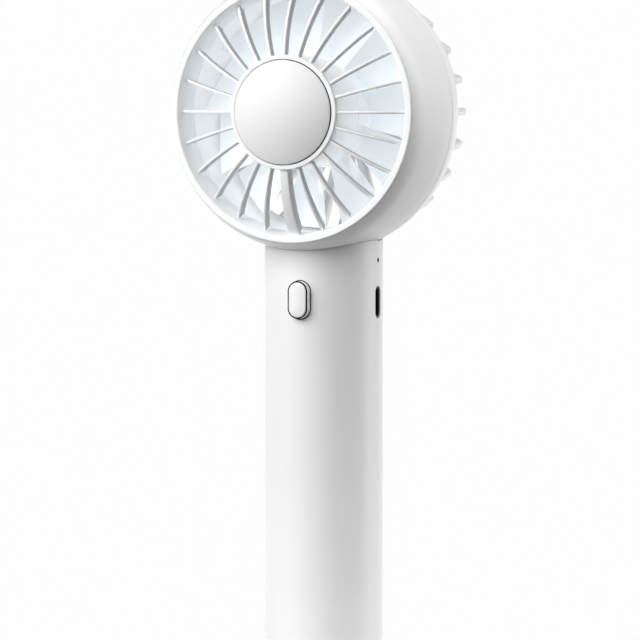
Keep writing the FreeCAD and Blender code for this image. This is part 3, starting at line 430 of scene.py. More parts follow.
def wrapped_cell():
    """Shrink sleeve on a steel can."""
    finish = Finish("cell_sleeve", (0.05, 0.17, 0.42), 0.28, Coat_Weight=0.4)
    creases = finish.noise(160.0, 3.0, (1, 1, 0.25), 0.6)
    finish.tint(creases, (0.04, 0.15, 0.38), (0.06, 0.20, 0.48))
    finish.rough(creases, 0.22, 0.36)
    finish.bump(creases, 2e-5, 0.4)
    return finish.material


def fibrous(name, colour):
    """Pressed fibre paper."""
    finish = Finish(name, colour, 0.85)
    fibres = finish.noise(1400.0, 6.0, (1, 4, 1), 1.0)
    finish.tint(fibres, lighter(colour, 0.85), lighter(colour, 1.08))
    finish.bump(fibres, 2e-5, 0.8)
    return finish.material


SHELL_WHITE = (0.83, 0.83, 0.835)
GRILLE_WHITE = (0.90, 0.905, 0.91)
RIM_WHITE = (0.84, 0.845, 0.85)
# Fin webs: a grey darker than the white grille, painted shade for the fins' shaded sides
FIN_PAINTED_SHADE_GREY = (0.50, 0.505, 0.52)
FIN_END_WHITE = (0.78, 0.78, 0.785)
PEARL_WHITE = (0.90, 0.935, 0.955)
DUCT_WHITE = (0.93, 0.935, 0.94)

# Painted glow: emission that brightens the blades, duct, hub cup and rim, though none of them is a
# lamp
PAINTED_GLOW_COLOUR = (0.92, 0.97, 1.0, 1.0)
BLADE_PAINTED_GLOW = 0.19
DUCT_PAINTED_GLOW = 0.13
CUP_PAINTED_GLOW = 0.17
RIM_PAINTED_GLOW = 0.1


def make_materials():
    """Every material by name."""
    return {
        "shell": moulded("shell_satin_white", SHELL_WHITE, 0.42),
        "handle": moulded("handle_satin_white", SHELL_WHITE, 0.40, 3000.0, 4e-6),
        "grille": moulded("grille_satin_white", GRILLE_WHITE, 0.36, 3000.0, 4e-6),
        # A near-black for rings and bands put in gaps so that they look shaded: painted shade
        "painted_shade": moulded(
            "black_painted_shade", (0.014, 0.014, 0.015), 0.7, 2000.0, 8e-6, Specular_IOR_Level=0.25
        ),
        "fin": moulded("fin_web_painted_shade_grey", FIN_PAINTED_SHADE_GREY, 0.36, 3000.0, 4e-6),
        "fin_end": moulded("fin_end_satin_white", FIN_END_WHITE, 0.36, 3000.0, 4e-6),
        "spoke": moulded("spoke_satin_white", RIM_WHITE, 0.34, 3000.0, 4e-6),
        # Rim, duct and cup give off a painted glow, an emission that brightens the inside of the head
        "rim": painted_glow_plastic("rim_satin_white_painted_glow", RIM_WHITE, RIM_PAINTED_GLOW),
        "duct": painted_glow_plastic("duct_satin_white_painted_glow", DUCT_WHITE, DUCT_PAINTED_GLOW),
        "cup": painted_glow_plastic("hub_cup_white_painted_glow", DUCT_WHITE, CUP_PAINTED_GLOW),
        "dome": moulded("dome_matte_white", SHELL_WHITE, 0.55, 2200.0, 9e-6),
        "button": moulded(
            "button_gloss_white", (0.86, 0.86, 0.87), 0.18, 3200.0, 2e-6, Coat_Weight=0.5
        ),
        # The blades give off a painted glow too, an emission that brightens them
        "pearl": painted_glow_plastic(
            "blade_pearl_white_painted_glow", PEARL_WHITE, BLADE_PAINTED_GLOW, 0.16, 600.0, 6e-6, Coat_Weight=0.8,
            Coat_Roughness=0.04,
        ),
        "silicone": moulded("pad_silicone", (0.66, 0.67, 0.68), 0.7, 1500.0, 1.2e-5),
        "steel": metal("turned_steel", (0.62, 0.62, 0.63), 0.28),
        "port_steel": metal("black_nickel", (0.07, 0.07, 0.075), 0.3, (12, 1, 1)),
        "nickel": metal("nickel_strip", (0.66, 0.64, 0.60), 0.34, (10, 1, 1)),
        "gold": metal("contact_gold", (0.85, 0.60, 0.25), 0.25, (8, 1, 1)),
        "lamination": laminated(),
        "magnet": moulded("sintered_ferrite", (0.035, 0.035, 0.038), 0.6, 1800.0, 2e-5),
        "copper": coil_wire(),
        "board": circuit_board(),
        "chip": moulded("chip_epoxy", (0.018, 0.018, 0.02), 0.45, 2600.0, 8e-6),
        "port_black": moulded("port_polymer", (0.012, 0.012, 0.013), 0.5, 2200.0, 6e-6),
        "frame": moulded("frame_grey", (0.30, 0.31, 0.33), 0.5, 1800.0, 1e-5),
        "cell": wrapped_cell(),
        "fibre": fibrous("fibre_washer", (0.62, 0.58, 0.46)),
        "lead": moulded("lead_silicone", (0.42, 0.02, 0.02), 0.5, 2600.0, 8e-6),
        "pale_lead": moulded("pale_lead_silicone", (0.62, 0.63, 0.64), 0.5, 2600.0, 8e-6),
        "clear": moulded(
            "light_guide", (0.80, 0.83, 0.85), 0.12, 1200.0, 2e-6, Transmission_Weight=0.7
        ),
        "smoked": moulded(
            "smoked_guide", (0.008, 0.008, 0.009), 0.7, 1200.0, 2e-6, Specular_IOR_Level=0.1
        ),
    }


MATERIALS = make_materials()


# Head


REAR_SIDE = [(36.4, -18.2, 130.0), (39.6, -5.5, 130.0), (40.15, -2.8, 16.0), (40.4, 0.4)]
DRUM_SIDE = [(40.4, 0.4, 150.0), (39.5, 17.0, 14.5), (37.5, 22.8)]


def side_radius(line, forward):
    """Radius of a back-to-front outer line at a distance forward of the handle's axis."""
    for low, high in zip(line, line[1:]):
        if low.y <= forward <= high.y:
            return low.x + (high.x - low.x) * (forward - low.y) / (high.y - low.y)
    return line[0].x if forward < line[0].y else line[-1].x


DRUM_LINE = traced(DRUM_SIDE)
REAR_LINE = traced(REAR_SIDE)


def head_radius(forward):
    """Radius that the handle and neck must clear: the drum, or the rear grille and a gap."""
    if forward > DRUM_LINE[0].y:
        return side_radius(DRUM_LINE, forward)
    return side_radius(REAR_LINE, forward) + SADDLE_GAP


def make_drum():
    """The drum shell, with rounded lips at its front and back openings."""
    inner = [(35.7, 22.8), (35.7, 21.2), (36.5, 21.2, -14.5), (37.9, 17.0, -150.0), (38.8, 0.4)]
    turned("drum_shell", DRUM_SIDE + inner, 0.2, "shell", "shell_white", "head_housing")


def make_neck():
    """The spigot under the drum, whose saddle-shaped roof shows behind the drum."""
    spigot = HANDLE_BORE - 0.1 * MM
    bore = spigot - 1.8 * MM
    bottom = DRUM_LOW.z
    roof = bottom + 5.2 * MM
    rings = 14
    turns = 96
    inset = 0.8 * MM
    angles = [TAU * number / turns for number in range(turns)]
    rows = []
    for number in range(rings + 1):
        radius = spigot * number / rings
        row = [post_point(radius, angle, 0) for angle in angles]
        for point in row:
            sunk = inset if -point.y > DRUM_LINE[0].y else 0.0
            point.z = HEAD.z - math.sqrt((head_radius(-point.y) - sunk) ** 2 - point.x**2)
        rows.append(row)
    rows.append([post_point(spigot, angle, bottom) for angle in angles])
    rows.append([post_point(bore, angle, bottom) for angle in angles])
    rows.append([post_point(bore, angle, roof) for angle in angles])
    rows.append([post_point(0, angle, roof) for angle in angles])
    surface = Surface()
    surface.grid(rows)
    surface.finish("drum_neck", MATERIALS["shell"], "root", "shell_white", "head_housing")


def make_front_rim():
    """The thin front lip with its hollowed throat, and the duct round the blades."""
    corners = [
        (34.3, 15.0), (35.5, 15.0), (35.5, 22.95), (37.4, 22.95), (37.3, 23.35, 0.2),
        (37.1, 23.5), (35.8, 23.5, 0.7), (35.35, 22.9), (34.75, 19.5), (34.3, 16.0),
    ]
    turned("front_rim", corners, 0.2, "rim", "grille_white", "front_grille")
    corners = [(34.3, -5.5), (35.5, -5.5), (35.5, 14.8), (34.3, 14.8)]
    turned("blade_duct", corners, 0.3, "duct", "grille_white", "air_duct")


def make_hub_ring():
    """The motor hub: a thin raised ring round the cap, and the cup behind it."""
    corners = [(16.4, 27.2), (16.4, 28.9), (15.06, 28.9), (15.06, 27.2)]
    turned("hub_ring", corners, 0.25, "grille", "grille_white", "front_grille")
    corners = [
        (3.2, 15.0), (15.0, 15.0), (15.0, 12.5), (16.35, 12.5), (16.35, 27.25), (15.25, 27.25),
        (15.2, 26.5), (14.2, 26.5), (14.2, 16.5), (3.2, 16.5),
    ]
    turned("hub_cup", corners, 0.2, "cup", "grille_white", "front_grille")


FIN_HUB_END = (16.0, 28.3)
FIN_RIM_END = (35.0, 21.2)
FIN_BEND = 35.0
FIN_STEP = math.radians(1.7)


def fin_line():
    """The fins' domed front edge from hub to rim, as (radius, forward) points in metres."""
    first, last = Vector(FIN_RIM_END) * MM, Vector(FIN_HUB_END) * MM
    line = [first, *arc_points(first, last, FIN_BEND * MM, FIN_STEP), last]
    return line[::-1]


def front_fin(surface, angle, half_width, growth, depth, corner, sunk):
    """One strip of a front fin that follows the dome, its front edge sunk behind the fin line."""
    line = fin_line()
    sideways = Vector((-math.sin(angle), 0, math.cos(angle)))
    stations = []
    for number, point in enumerate(line):
        before = line[max(0, number - 1)]
        after = line[min(len(line) - 1, number + 1)]
        way = (after - before).normalized()
        front = Vector((-way.y, way.x))
        middle = point - front * (sunk + depth / 2)
        centre = head_point(middle.x, angle, middle.y)
        deep = head_point(front.x, angle, front.y) - HEAD
        half = half_width + growth * number / (len(line) - 1)
        stations.append((centre, sideways, deep, half, depth / 2))
    add_plate(surface, stations, corner)


def make_front_fins():
    """Twenty-three slim fins and a wide spoke at the bottom, each a rounded white bead on a web whose
    grey is painted shade for its shaded sides.

    Each strip has its half width at the hub, its growth towards the rim, its depth, the rounding
    of its corners and how far it is sunk, in millimetres.
    """
    bottom = FIN_COUNT * 3 // 4
    slim = [number for number in range(FIN_COUNT) if number != bottom]
    strips = [
        # The webs take the grey of painted shade; the beads and the spoke's face stay white
        ("front_fins", "fin", slim, (0.32, 0.0, 2.3, 0.1, 0.4)),
        ("fin_beads", "grille", slim, (0.4, 0.0, 0.6, 0.28, 0.0)),
        ("wide_spoke", "fin", [bottom], (1.15, 0.4, 2.9, 0.1, 0.5)),
        ("spoke_face", "spoke", [bottom], (1.25, 0.4, 0.7, 0.3, 0.0)),
    ]
    for name, material, numbers, sizes in strips:
        surface = Surface()
        for number in numbers:
            front_fin(surface, TAU * number / FIN_COUNT, *(size * MM for size in sizes))
        surface.finish(name, MATERIALS[material], "root", "grille_white", "front_grille")


def make_front_cap():
    """The smooth dome in the middle of the grille, on three legs, and a black ring under its edge
    that is painted shade for the gap.
    """
    edge, low, top = 14.9, 29.35, 33.1
    rise = top - low
    bend = (edge**2 + rise**2) / (2 * rise)
    corners = [
        (13.55, 28.0), (14.85, 28.0), (edge, low, bend), (0, top), (0, 31.7), (7.0, 30.8),
        (12.6, 28.6),
    ]
    surface = Surface()
    spin(surface, softened(traced(corners), 0.2 * MM))
    leg_radius = 13.5 * MM
    leg_half_width = 1.9 * MM
    for leg in range(3):
        angle = TAU * leg / 3
        outward = Vector((math.cos(angle), 0, math.sin(angle)))
        sideways = Vector((-math.sin(angle), 0, math.cos(angle)))
        stations = []
        for forward, half in ((21.8, 0.3), (22.3, 0.5), (27.8, 0.5)):
            centre = head_point(leg_radius, angle, forward * MM)
            stations.append((centre, outward, sideways, half * MM, leg_half_width))
        add_plate(surface, stations, 0.2 * MM)
    surface.finish("dome_cap", MATERIALS["dome"], "root", "dome_white", "front_cap")
    # A black ring in the gap under the dome's edge, as painted shade
    corners = [(13.6, 26.6), (14.96, 26.6), (14.96, 29.12), (14.5, 29.12), (13.6, 28.1)]
    turned("dome_shade_ring", corners, 0.05, "painted_shade", "dome_white", "front_cap")


REAR_BACK = -20.9
REAR_FIN_HALF = 1.05 * MM
REAR_FIN_ROUND = 1.0 * MM
SLACK = 1e-12


def resampled(line, count):
    """Points spread evenly along an open line, its ends included."""
    reaches = [0.0]
    for before, after in zip(line, line[1:]):
        reaches.append(reaches[-1] + (after - before).length)
    points = []
    for number in range(count):
        target = reaches[-1] * number / (count - 1)
        step = max(1, next(n for n, reach in enumerate(reaches) if reach >= target - SLACK))
        share = (target - reaches[step - 1]) / (reaches[step] - reaches[step - 1])
        points.append(line[step - 1].lerp(line[step], share))
    return points


def rear_fin(surface, angle):
    """One thick fin: out from the hub, round the bend and forward along the side to the ring.

    Each stretch has its outer line, its inner line and how many stations it takes.
    """
    stretches = [
        ([(11.9, REAR_BACK), (33.7, REAR_BACK)], [(11.9, -15.7, 24.0), (32.3, -12.0)], 9),
        ([(33.7, REAR_BACK, 2.7), (36.4, -18.2)], [(32.3, -12.0), (34.9, -9.0)], 8),
        ([(36.4, -18.2, 130.0), (39.6, -5.5), (39.9, -3.5)], [(34.9, -9.0), (37.9, -3.5)], 9),
    ]
    sideways = Vector((-math.sin(angle), 0, math.cos(angle)))
    stations = []
    for outer, inner, count in stretches:
        outer_points = resampled(traced(outer), count)
        inner_points = resampled(traced(inner), count)
        for high, low in list(zip(outer_points, inner_points))[1 if stations else 0:]:
            first = head_point(high.x, angle, high.y)
            last = head_point(low.x, angle, low.y)
            half_depth = (first - last).length / 2
            deep = (first - last).normalized()
            stations.append(((first + last) / 2, sideways, deep, REAR_FIN_HALF, half_depth))
    add_plate(surface, stations, REAR_FIN_ROUND, 5)


def make_rear_grille():
    """The ring that carries on the drum's side, the thick fins behind it, and the small hub."""
    fins = Surface()
    for number in range(FIN_COUNT):
        rear_fin(fins, TAU * number / FIN_COUNT)
    fins.finish("rear_fins", MATERIALS["fin_end"], "root", "grille_white", "rear_grille")
    corners = [
        (38.1, -5.5), (39.6, -5.5, 130.0), (40.15, -2.8, 16.0), (40.35, 0.26), (38.6, 0.26),
        (38.6, 3.2), (37.4, 3.2), (37.4, -1.1),
    ]
    turned("rear_ring", corners, 0.16, "grille", "grille_white", "rear_grille")
    corners = [
        (0, REAR_BACK), (12.5, REAR_BACK), (12.5, -14.5), (11.1, -14.5), (11.1, -19.5), (0, -19.5),
    ]
    turned("rear_hub", corners, 0.5, "grille", "grille_white", "rear_grille")


BLADE_ROOT = 15.0 * MM
BLADE_MIDDLE = 3.4 * MM
BLADE_THICK = 1.1 * MM
BLADE_CAMBER = 0.085

# A blade's chord and pitch, at this radius and as they change over this reach
GAUGE_RADIUS = 11.0 * MM
GAUGE_REACH = 23.5 * MM
CHORD = (12.0 * MM, 11.0 * MM)
PITCH_DEGREES = (46.0, -22.0, 7.0)
CHORD_STEPS = 20
SPAN_STEPS = 16


def blade_section(radius, start):
    """A loop round a cambered blade at a distance from the axis, up one side and down the other."""
    share = (radius - GAUGE_RADIUS) / GAUGE_REACH
    chord = CHORD[0] + CHORD[1] * share
    pitch = math.radians(sum(part * share**power for power, part in enumerate(PITCH_DEGREES)))
    camber = chord * BLADE_CAMBER
    up = [(1, step) for step in range(CHORD_STEPS + 1)]
    down = [(-1, step) for step in range(CHORD_STEPS - 1, 0, -1)]
    loop = []
    for side, step in up + down:
        spread = 0.5 * (1 - math.cos(math.pi * step / CHORD_STEPS))
        place = (spread - 0.5) * chord
        thick = BLADE_THICK * math.sqrt(max(0.0, math.sin(math.pi * spread))) / 2
        height = -camber * (1 - (2 * spread - 1) ** 2) + side * thick
        across = place * math.cos(pitch) - height * math.sin(pitch)
        forward = place * math.sin(pitch) + height * math.cos(pitch)
        loop.append(head_point(radius, start + across / radius, BLADE_MIDDLE + forward))
    return loop


def make_impeller():
    """Eleven twisted, cambered blades round a cup-shaped hub."""
    corners = [
        (0, -0.8), (4.0, -0.8), (4.0, 0.8), (14.5, 0.8, 1.4), (15.9, 2.2), (15.9, 11.2),
        (14.45, 11.2), (14.45, 2.2), (2.45, 2.2), (2.45, 0.4), (0, 0.4),
    ]
    turned("impeller_hub", corners, 0.3, "pearl", "blade_pearl", "impeller", "rotor")
    blades = Surface()
    span = BLADE_TIP - 0.02 * MM - BLADE_ROOT
    for blade in range(BLADE_COUNT):
        start = TAU * blade / BLADE_COUNT
        rows = [
            blade_section(BLADE_ROOT + span * step / SPAN_STEPS, start)
            for step in range(SPAN_STEPS + 1)
        ]
        blades.grid(rows)
        blades.cover(rows[0])
        blades.cover(rows[-1])
    blades.finish("impeller_blades", MATERIALS["pearl"], "rotor", "blade_pearl", "impeller")


# Handle


def stadium_reach(direction, half_width, half_length):
    """Distance from the middle of an upright stadium to its edge in a direction."""
    straight = max(half_length - half_width, 0.0)
    across, up = abs(direction[0]), abs(direction[1])
    if across * straight >= up * half_width:
        return half_width / across
    return up * straight + math.sqrt(max((up * straight) ** 2 - straight**2 + half_width**2, 0.0))


def hole_loop(directions, half_width, half_length):
    """The stadium's edge along each direction, as (sideways, up) offsets from its middle."""
    return [
        Vector(direction) * stadium_reach(direction, half_width, half_length)
        for direction in directions
    ]


def handle_top(x, y):
    """Height at which the handle ends, under the drum and the rear grille."""
    return HEAD.z - math.sqrt(head_radius(-y) ** 2 - x**2)


END_EDGE = 0.25 * MM


def make_handle():
    """The round handle shell, with softly rounded openings for button, port and light.

    Its rows are coarse below the holes and fine from there up. A hole is its angle about the
    handle, height, half width, half length, the margin of wall redrawn round it, and its edge's
    rounding.
    """
    columns = 240
    cell = TAU / columns
    low = TUBE_LOW.z
    coarse_rows = 40
    coarse_rise = 100.0 * MM - low
    fine = 0.55 * MM
    straight_top = 129.2 * MM
    heights = [low + END_EDGE + coarse_rise * number / coarse_rows for number in range(coarse_rows)]
    start = heights[-1] + 1.5 * MM
    count = round((straight_top - start) / fine)
    heights += [start + (straight_top - start) * number / count for number in range(count + 1)]
    holes = [
        (-math.pi / 2, BUTTON_CENTRE, 3.35 * MM, 5.7 * MM, 1.9 * MM, 0.12 * MM),
        (0.0, PORT_CENTRE, 1.7 * MM, 4.65 * MM, 1.3 * MM, 0.12 * MM),
        (0.0, LIGHT_CENTRE, 0.64 * MM, 0.7 * MM, 0.9 * MM, 0.05 * MM),
    ]
    surface = Surface()
    patches = [patch_cells(hole, cell, heights) for hole in holes]
    for outer in (True, False):
        add_handle_wall(surface, heights, columns, patches, outer)
        for hole, patch in zip(holes, patches):
            add_hole(surface, hole, patch, cell, heights, outer)
    add_handle_ends(surface, heights, columns, low)
    surface.finish("handle_shell", MATERIALS["handle"], "root", "handle_white", "handle_tube")


def patch_cells(hole, cell, heights):
    """The block of wall cells that a hole and its margin cover."""
    angle, up, half_width, half_length, margin, _ = hole
    reach = math.asin(min(1.0, (half_width + margin) / HANDLE_RADIUS))
    middle = round(angle / cell)
    side = math.ceil(reach / cell)
    bottom = max(n for n, height in enumerate(heights) if height < up - half_length - margin)
    top = min(n for n, height in enumerate(heights) if height > up + half_length + margin)
    return middle - side, middle + side, bottom, top


def add_handle_wall(surface, heights, columns, patches, outer):
    """The outside or inside wall, without the cells where the holes go."""
    radius = HANDLE_RADIUS if outer else HANDLE_BORE
    cell = TAU / columns
    base = len(surface.points)
    for height in heights:
        surface.points += [post_point(radius, cell * column, height) for column in range(columns)]
    for row in range(len(heights) - 1):
        for column in range(columns):
            if any(
                bottom <= row < top and 0 <= (column - left) % columns < right - left
                for left, right, bottom, top in patches
            ):
                continue
            here = base + row * columns
            beside = (column + 1) % columns
            surface.faces.append(
                (here + column, here + beside, here + columns + beside, here + columns + column)
            )


def add_hole(surface, hole, patch, cell, heights, outer):
    """Rings of faces from a gap in the wall to the hole's rounded edge, and through the wall."""
    angle, up, half_width, half_length, _, edge = hole
    left, right, bottom, top = patch
    radius = HANDLE_RADIUS if outer else HANDLE_BORE
    border = [(column, bottom) for column in range(left, right)]
    border += [(right, row) for row in range(bottom, top)]
    border += [(column, top) for column in range(right, left, -1)]
    border += [(left, row) for row in range(top, bottom, -1)]
    offsets = [(math.sin(cell * column - angle), heights[row] - up) for column, row in border]
    places = [Vector((radius * across, rise)) for across, rise in offsets]
    directions = [
        tuple(Vector((HANDLE_RADIUS * across, rise)).normalized()) for across, rise in offsets
    ]
    rim = edge if outer else 0.0
    opening = hole_loop(directions, half_width + rim, half_length + rim)
    loops = []
    for share in (0.0, 0.3, 0.6, 0.85, 1.0):
        loops.append([
            wall_point(angle, up, place.lerp(target, share), radius)
            for place, target in zip(places, opening)
        ])
    if outer:
        for step in range(1, 6):
            turn = step / 5 * math.pi / 2
            grow = edge * (1 - math.sin(turn))
            sink = edge * (1 - math.cos(turn))
            ring = hole_loop(directions, half_width + grow, half_length + grow)
            loops.append([wall_point(angle, up, place, radius, sink) for place in ring])
        inside = hole_loop(directions, half_width, half_length)
        loops.append([wall_point(angle, up, place, HANDLE_BORE) for place in inside])
    surface.grid(loops)


def wall_point(angle, up, place, radius, sink=0.0):
    """A point of the wall from its offset sideways and up, sunk straight into the wall."""
    outward = Vector((math.cos(angle), math.sin(angle), 0))
    sideways = Vector((-math.sin(angle), math.cos(angle), 0))
    depth = math.sqrt(radius**2 - place.x**2) - sink
    return outward * depth + sideways * place.x + Vector((0, 0, up + place.y))


def add_handle_ends(surface, heights, columns, low):
    """The rounded foot edge, and the saddle-shaped top edge under the drum."""
    angles = [TAU * number / columns for number in range(columns)]
    turns = [step / 4 * math.pi / 2 for step in range(1, 5)]
    bend = [(END_EDGE * (1 - math.cos(turn)), END_EDGE * (1 - math.sin(turn))) for turn in turns]

    def ring(radius, height):
        return [post_point(radius, angle, height) for angle in angles]

    foot = [ring(HANDLE_RADIUS, heights[0])]
    foot += [ring(HANDLE_RADIUS - inset, low + rest) for inset, rest in bend]
    foot.append(ring(HANDLE_BORE, low))
    foot.append(ring(HANDLE_BORE, heights[0]))
    surface.grid(foot)

    def saddle(radius, drop):
        points = []
        for angle in angles:
            point = post_point(radius, angle, 0)
            point.z = handle_top(point.x, point.y) - drop
            points.append(point)
        return points

    crest = saddle(HANDLE_RADIUS, END_EDGE)
    first = ring(HANDLE_RADIUS, heights[-1])
    top = []
    for share in (0.0, 0.25, 0.5, 0.75, 1.0):
        top.append([below.lerp(above, share) for below, above in zip(first, crest)])
    top += [saddle(HANDLE_RADIUS - inset, rest) for inset, rest in bend]
    top.append(saddle(HANDLE_BORE, 0.0))
    top.append(ring(HANDLE_BORE, heights[-1]))
    surface.grid(top)


def make_foot():
    """The cap that closes the handle, with its seat for the pad, and the soft pad."""
    corners = [
        (0, 1.0), (14.2, 1.0), (14.2, 0.4), (15.9, 0.4, 1.1), (17.0, 1.5), (17.0, 2.4),
        (15.2, 2.4), (15.2, 8.0), (13.8, 8.0), (13.8, 3.0), (0, 3.0),
    ]
    turned("foot_cap", corners, 0.22, "handle", "handle_white", "bottom_cap", place=post_point)
    corners = [(0, 0), (14.0, 0), (14.0, 1.0), (0, 1.0)]
    turned("foot_pad_soft", corners, 0.35, "silicone", "pad_silicone", "foot_pad", place=post_point)


# Button and socket

BUTTON_FLANGE = 1.2 * MM
BUTTON_HALF_WIDTH = extent("power_button").x / 2 - BUTTON_FLANGE
BUTTON_HALF_LENGTH = extent("power_button").z / 2 - BUTTON_FLANGE
BUTTON_CROWN = 0.2 * MM
CROWN_STEPS = 9
CROWN_SHARE = 0.97
BUTTON_SHOULDER = -BUTTON_LOW.y - BUTTON_CROWN - 0.05 * MM
BAND_INSET = 0.4 * MM
BAND_DEPTH = 0.3 * MM
FLANGE_FRONT = 14.4 * MM
FLANGE_BACK = 13.6 * MM
STEM_RADIUS = 1.6 * MM
STEM_CHAMFER = 0.1 * MM
# The black ring of painted shade in the gap round the button
SHADE_RING_SUNK = 0.08 * MM
SHADE_RING_INNER = 0.03 * MM
SHADE_RING_OUTER = 0.285 * MM


def stadium_ring(half_width, half_length, count=96):
    """Points round an upright stadium, as (sideways, up) offsets."""
    straight = half_length - half_width
    points = []
    for number in range(count):
        angle = TAU * number / count
        shift = straight if math.sin(angle) >= 0 else -straight
        points.append(Vector((half_width * math.cos(angle), half_width * math.sin(angle) + shift)))
    return points


def button_outline(inset):
    return stadium_ring(BUTTON_HALF_WIDTH - inset, BUTTON_HALF_LENGTH - inset)


def upright(outline, forward):
    """An outline stood up round the button's middle, at a distance forward of the handle's axis."""
    return [Vector((place.x, -forward, BUTTON_CENTRE + place.y)) for place in outline]


def make_button():
    """The pill-shaped button: a crowned face, a step for its band, a flange and its stem."""
    seat = BUTTON_SHOULDER - BAND_DEPTH
    face = (BUTTON_HALF_WIDTH - BAND_INSET) * CROWN_SHARE
    section = []
    for step in range(1, CROWN_STEPS):
        share = step / CROWN_STEPS
        rise = -BUTTON_LOW.y - BUTTON_CROWN * share**2
        section.append((BAND_INSET + face * (1 - share), rise))
    section += [
        (BAND_INSET + 0.03 * MM, BUTTON_SHOULDER),
        (BAND_INSET, BUTTON_SHOULDER - 0.05 * MM),
        (BAND_INSET, seat),
        (0.02 * MM, seat),
        (0.0, seat - 0.02 * MM),
        (0.0, FLANGE_FRONT),
        (-BUTTON_FLANGE, FLANGE_FRONT),
        (-BUTTON_FLANGE, FLANGE_BACK),
        (BUTTON_HALF_WIDTH - 0.1 * MM, FLANGE_BACK),
    ]
    rows = [upright(button_outline(inset), forward) for inset, forward in section]
    surface = Surface()
    surface.grid(rows)
    surface.cover(rows[0])
    surface.cover(rows[-1])
    back = -BUTTON_HIGH.y
    section = [
        (0.0, back),
        (STEM_RADIUS - STEM_CHAMFER, back),
        (STEM_RADIUS, back + STEM_CHAMFER),
        (STEM_RADIUS, FLANGE_BACK + 0.1 * MM),
    ]
    stem = [upright(stadium_ring(radius, radius, 32), forward) for radius, forward in section]
    surface.grid(stem)
    surface.cover(stem[-1])
    surface.finish("button_pill", MATERIALS["button"], "button", "button_white", "power_button")


def make_button_shade_band():
    """The dark band round the button's face, which moves with it: painted shade for the outline of
    its groove.
    """
    inner = BAND_INSET - 0.01 * MM
    low = BUTTON_SHOULDER - BAND_DEPTH + 0.01 * MM
    high = BUTTON_SHOULDER
    section = [
        (inner, low),
        (0.0, low),
        (0.0, high - 0.1 * MM),
        (0.03 * MM, high - 0.03 * MM),
        (0.1 * MM, high),
        (inner, high),
    ]
    rows = [upright(button_outline(inset), forward) for inset, forward in section]
    band = Surface()
    band.grid(rows, wrap_along=True)
    band.finish("button_shade_band", MATERIALS["painted_shade"], "button", "port_black", "power_button")


def make_button_shade_ring():
    """The dark ring in the gap round the button, which stays just under the handle's surface: painted
    shade for the gap.
    """
    rows = []
    for gap in (SHADE_RING_INNER, SHADE_RING_OUTER):
        rows.append(upright(button_outline(-gap), HANDLE_BORE + 0.1 * MM))
    for gap in (SHADE_RING_OUTER, SHADE_RING_INNER):
        row = upright(button_outline(-gap), 0.0)
        for point in row:
            point.y = SHADE_RING_SUNK - math.sqrt(HANDLE_RADIUS**2 - point.x**2)
        rows.append(row)
    painted_shade = Surface()
    painted_shade.grid(rows, wrap_along=True)
    painted_shade.finish("button_shade_ring", MATERIALS["painted_shade"], "root", "port_black", "handle_tube")


def make_port():
    """The charging socket's drawn shell, with a rolled mouth, and its tongue."""
    half_thick = extent("usb_shell").y / 2
    half_wide = extent("usb_shell").z / 2
    wall = 0.3 * MM
    floor = 1.2 * MM
    roll = wall / 2
    start = PORT_HIGH.x - roll

    def ring(x, inset):
        return [
            Vector((x, place.x, PORT_CENTRE + place.y))
            for place in stadium_ring(half_thick - inset, half_wide - inset, 72)
        ]

    rows = [ring(PORT_LOW.x, 0), ring(start, 0)]
    for step in range(1, 6):
        turn = step / 6 * math.pi
        rows.append(ring(start + roll * math.sin(turn), roll * (1 - math.cos(turn))))
    rows += [ring(start, wall), ring(PORT_LOW.x + floor, wall)]
    surface = Surface()
    surface.grid(rows)
    surface.cover(rows[0])
    surface.cover(rows[-1])
    surface.finish("socket_shell", MATERIALS["port_steel"], "root", "steel", "usb_shell")
    low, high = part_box("usb_tongue")
    middle = (low + high) / 2
    half_thick = 0.35 * MM
    half_wide = 3.3 * MM
    corner = 0.15 * MM
    stations = []
    for x, taper in ((low.x, 0.0), (high.x - 0.4 * MM, 0.0), (high.x, corner)):
        centre = Vector((x, middle.y, middle.z))
        across, deep = Vector((0, 1, 0)), Vector((0, 0, 1))
        stations.append((centre, across, deep, half_thick - taper, half_wide - taper))
    tongue = Surface()
    add_plate(tongue, stations, corner)
    tongue.finish("socket_tongue", MATERIALS["port_black"], "root", "port_black", "usb_tongue")


# CAD nodes that keep their shape and get a finish

NODE_FINISHES = {
    "frame": ["motor_bracket", "inner_frame"],
    "steel": [
        "bearing_front", "bearing_rear", "motor_screws", "rotor_cup", "motor_shaft", "shaft_clip",
        "cap_screws", "frame_screws", "board_screws",
    ],
    "lamination": ["stator_core"],
    "copper": ["stator_windings", "phase_pins"],
    "magnet": ["magnet_ring"],
    "board": ["motor_board", "main_board"],
    "chip": ["motor_board_parts", "board_parts", "tact_switch"],
    "port_black": ["switch_plunger"],
    "pale_lead": ["motor_leads"],
    "lead": ["battery_leads"],
    "cell": ["battery_cell"],
    "fibre": ["cell_insulators"],
    "nickel": ["battery_tabs"],
    "clear": ["status_led"],
    "smoked": ["light_pipe"],
}


def finish_nodes():
    for material, names in NODE_FINISHES.items():
        for name in names:
            mesh = frame["nodes"][name].data
            mesh.materials.clear()
            mesh.materials.append(MATERIALS[material])


# Studio

SKY_BEHIND = 2.08
SKY_RIGHT = 0.72
SKY_WHITE = (0.99, 0.99, 0.992, 1.0)
FLOOR_RADIUS = 0.13
LIGHT_DISTANCE = 0.9
LIGHT_TARGET = Vector((0, 0, 0.13))

# Name, degrees round from the front towards +X, degrees up, width, height in metres, and watts
LIGHTS = [
    ("key_left", -42, 20, 0.8, 0.9, 4.5),
    ("key_high", -20, 34, 0.9, 0.7, 7.1),
    ("front_fill", 0, 5, 0.6, 0.6, 0.33),
    ("rim_right", 122, 15, 0.3, 0.9, 3.4),
    ("rim_high", 100, 40, 0.5, 0.5, 1.32),
    ("top_back", 150, 60, 0.5, 0.5, 2.6),
]


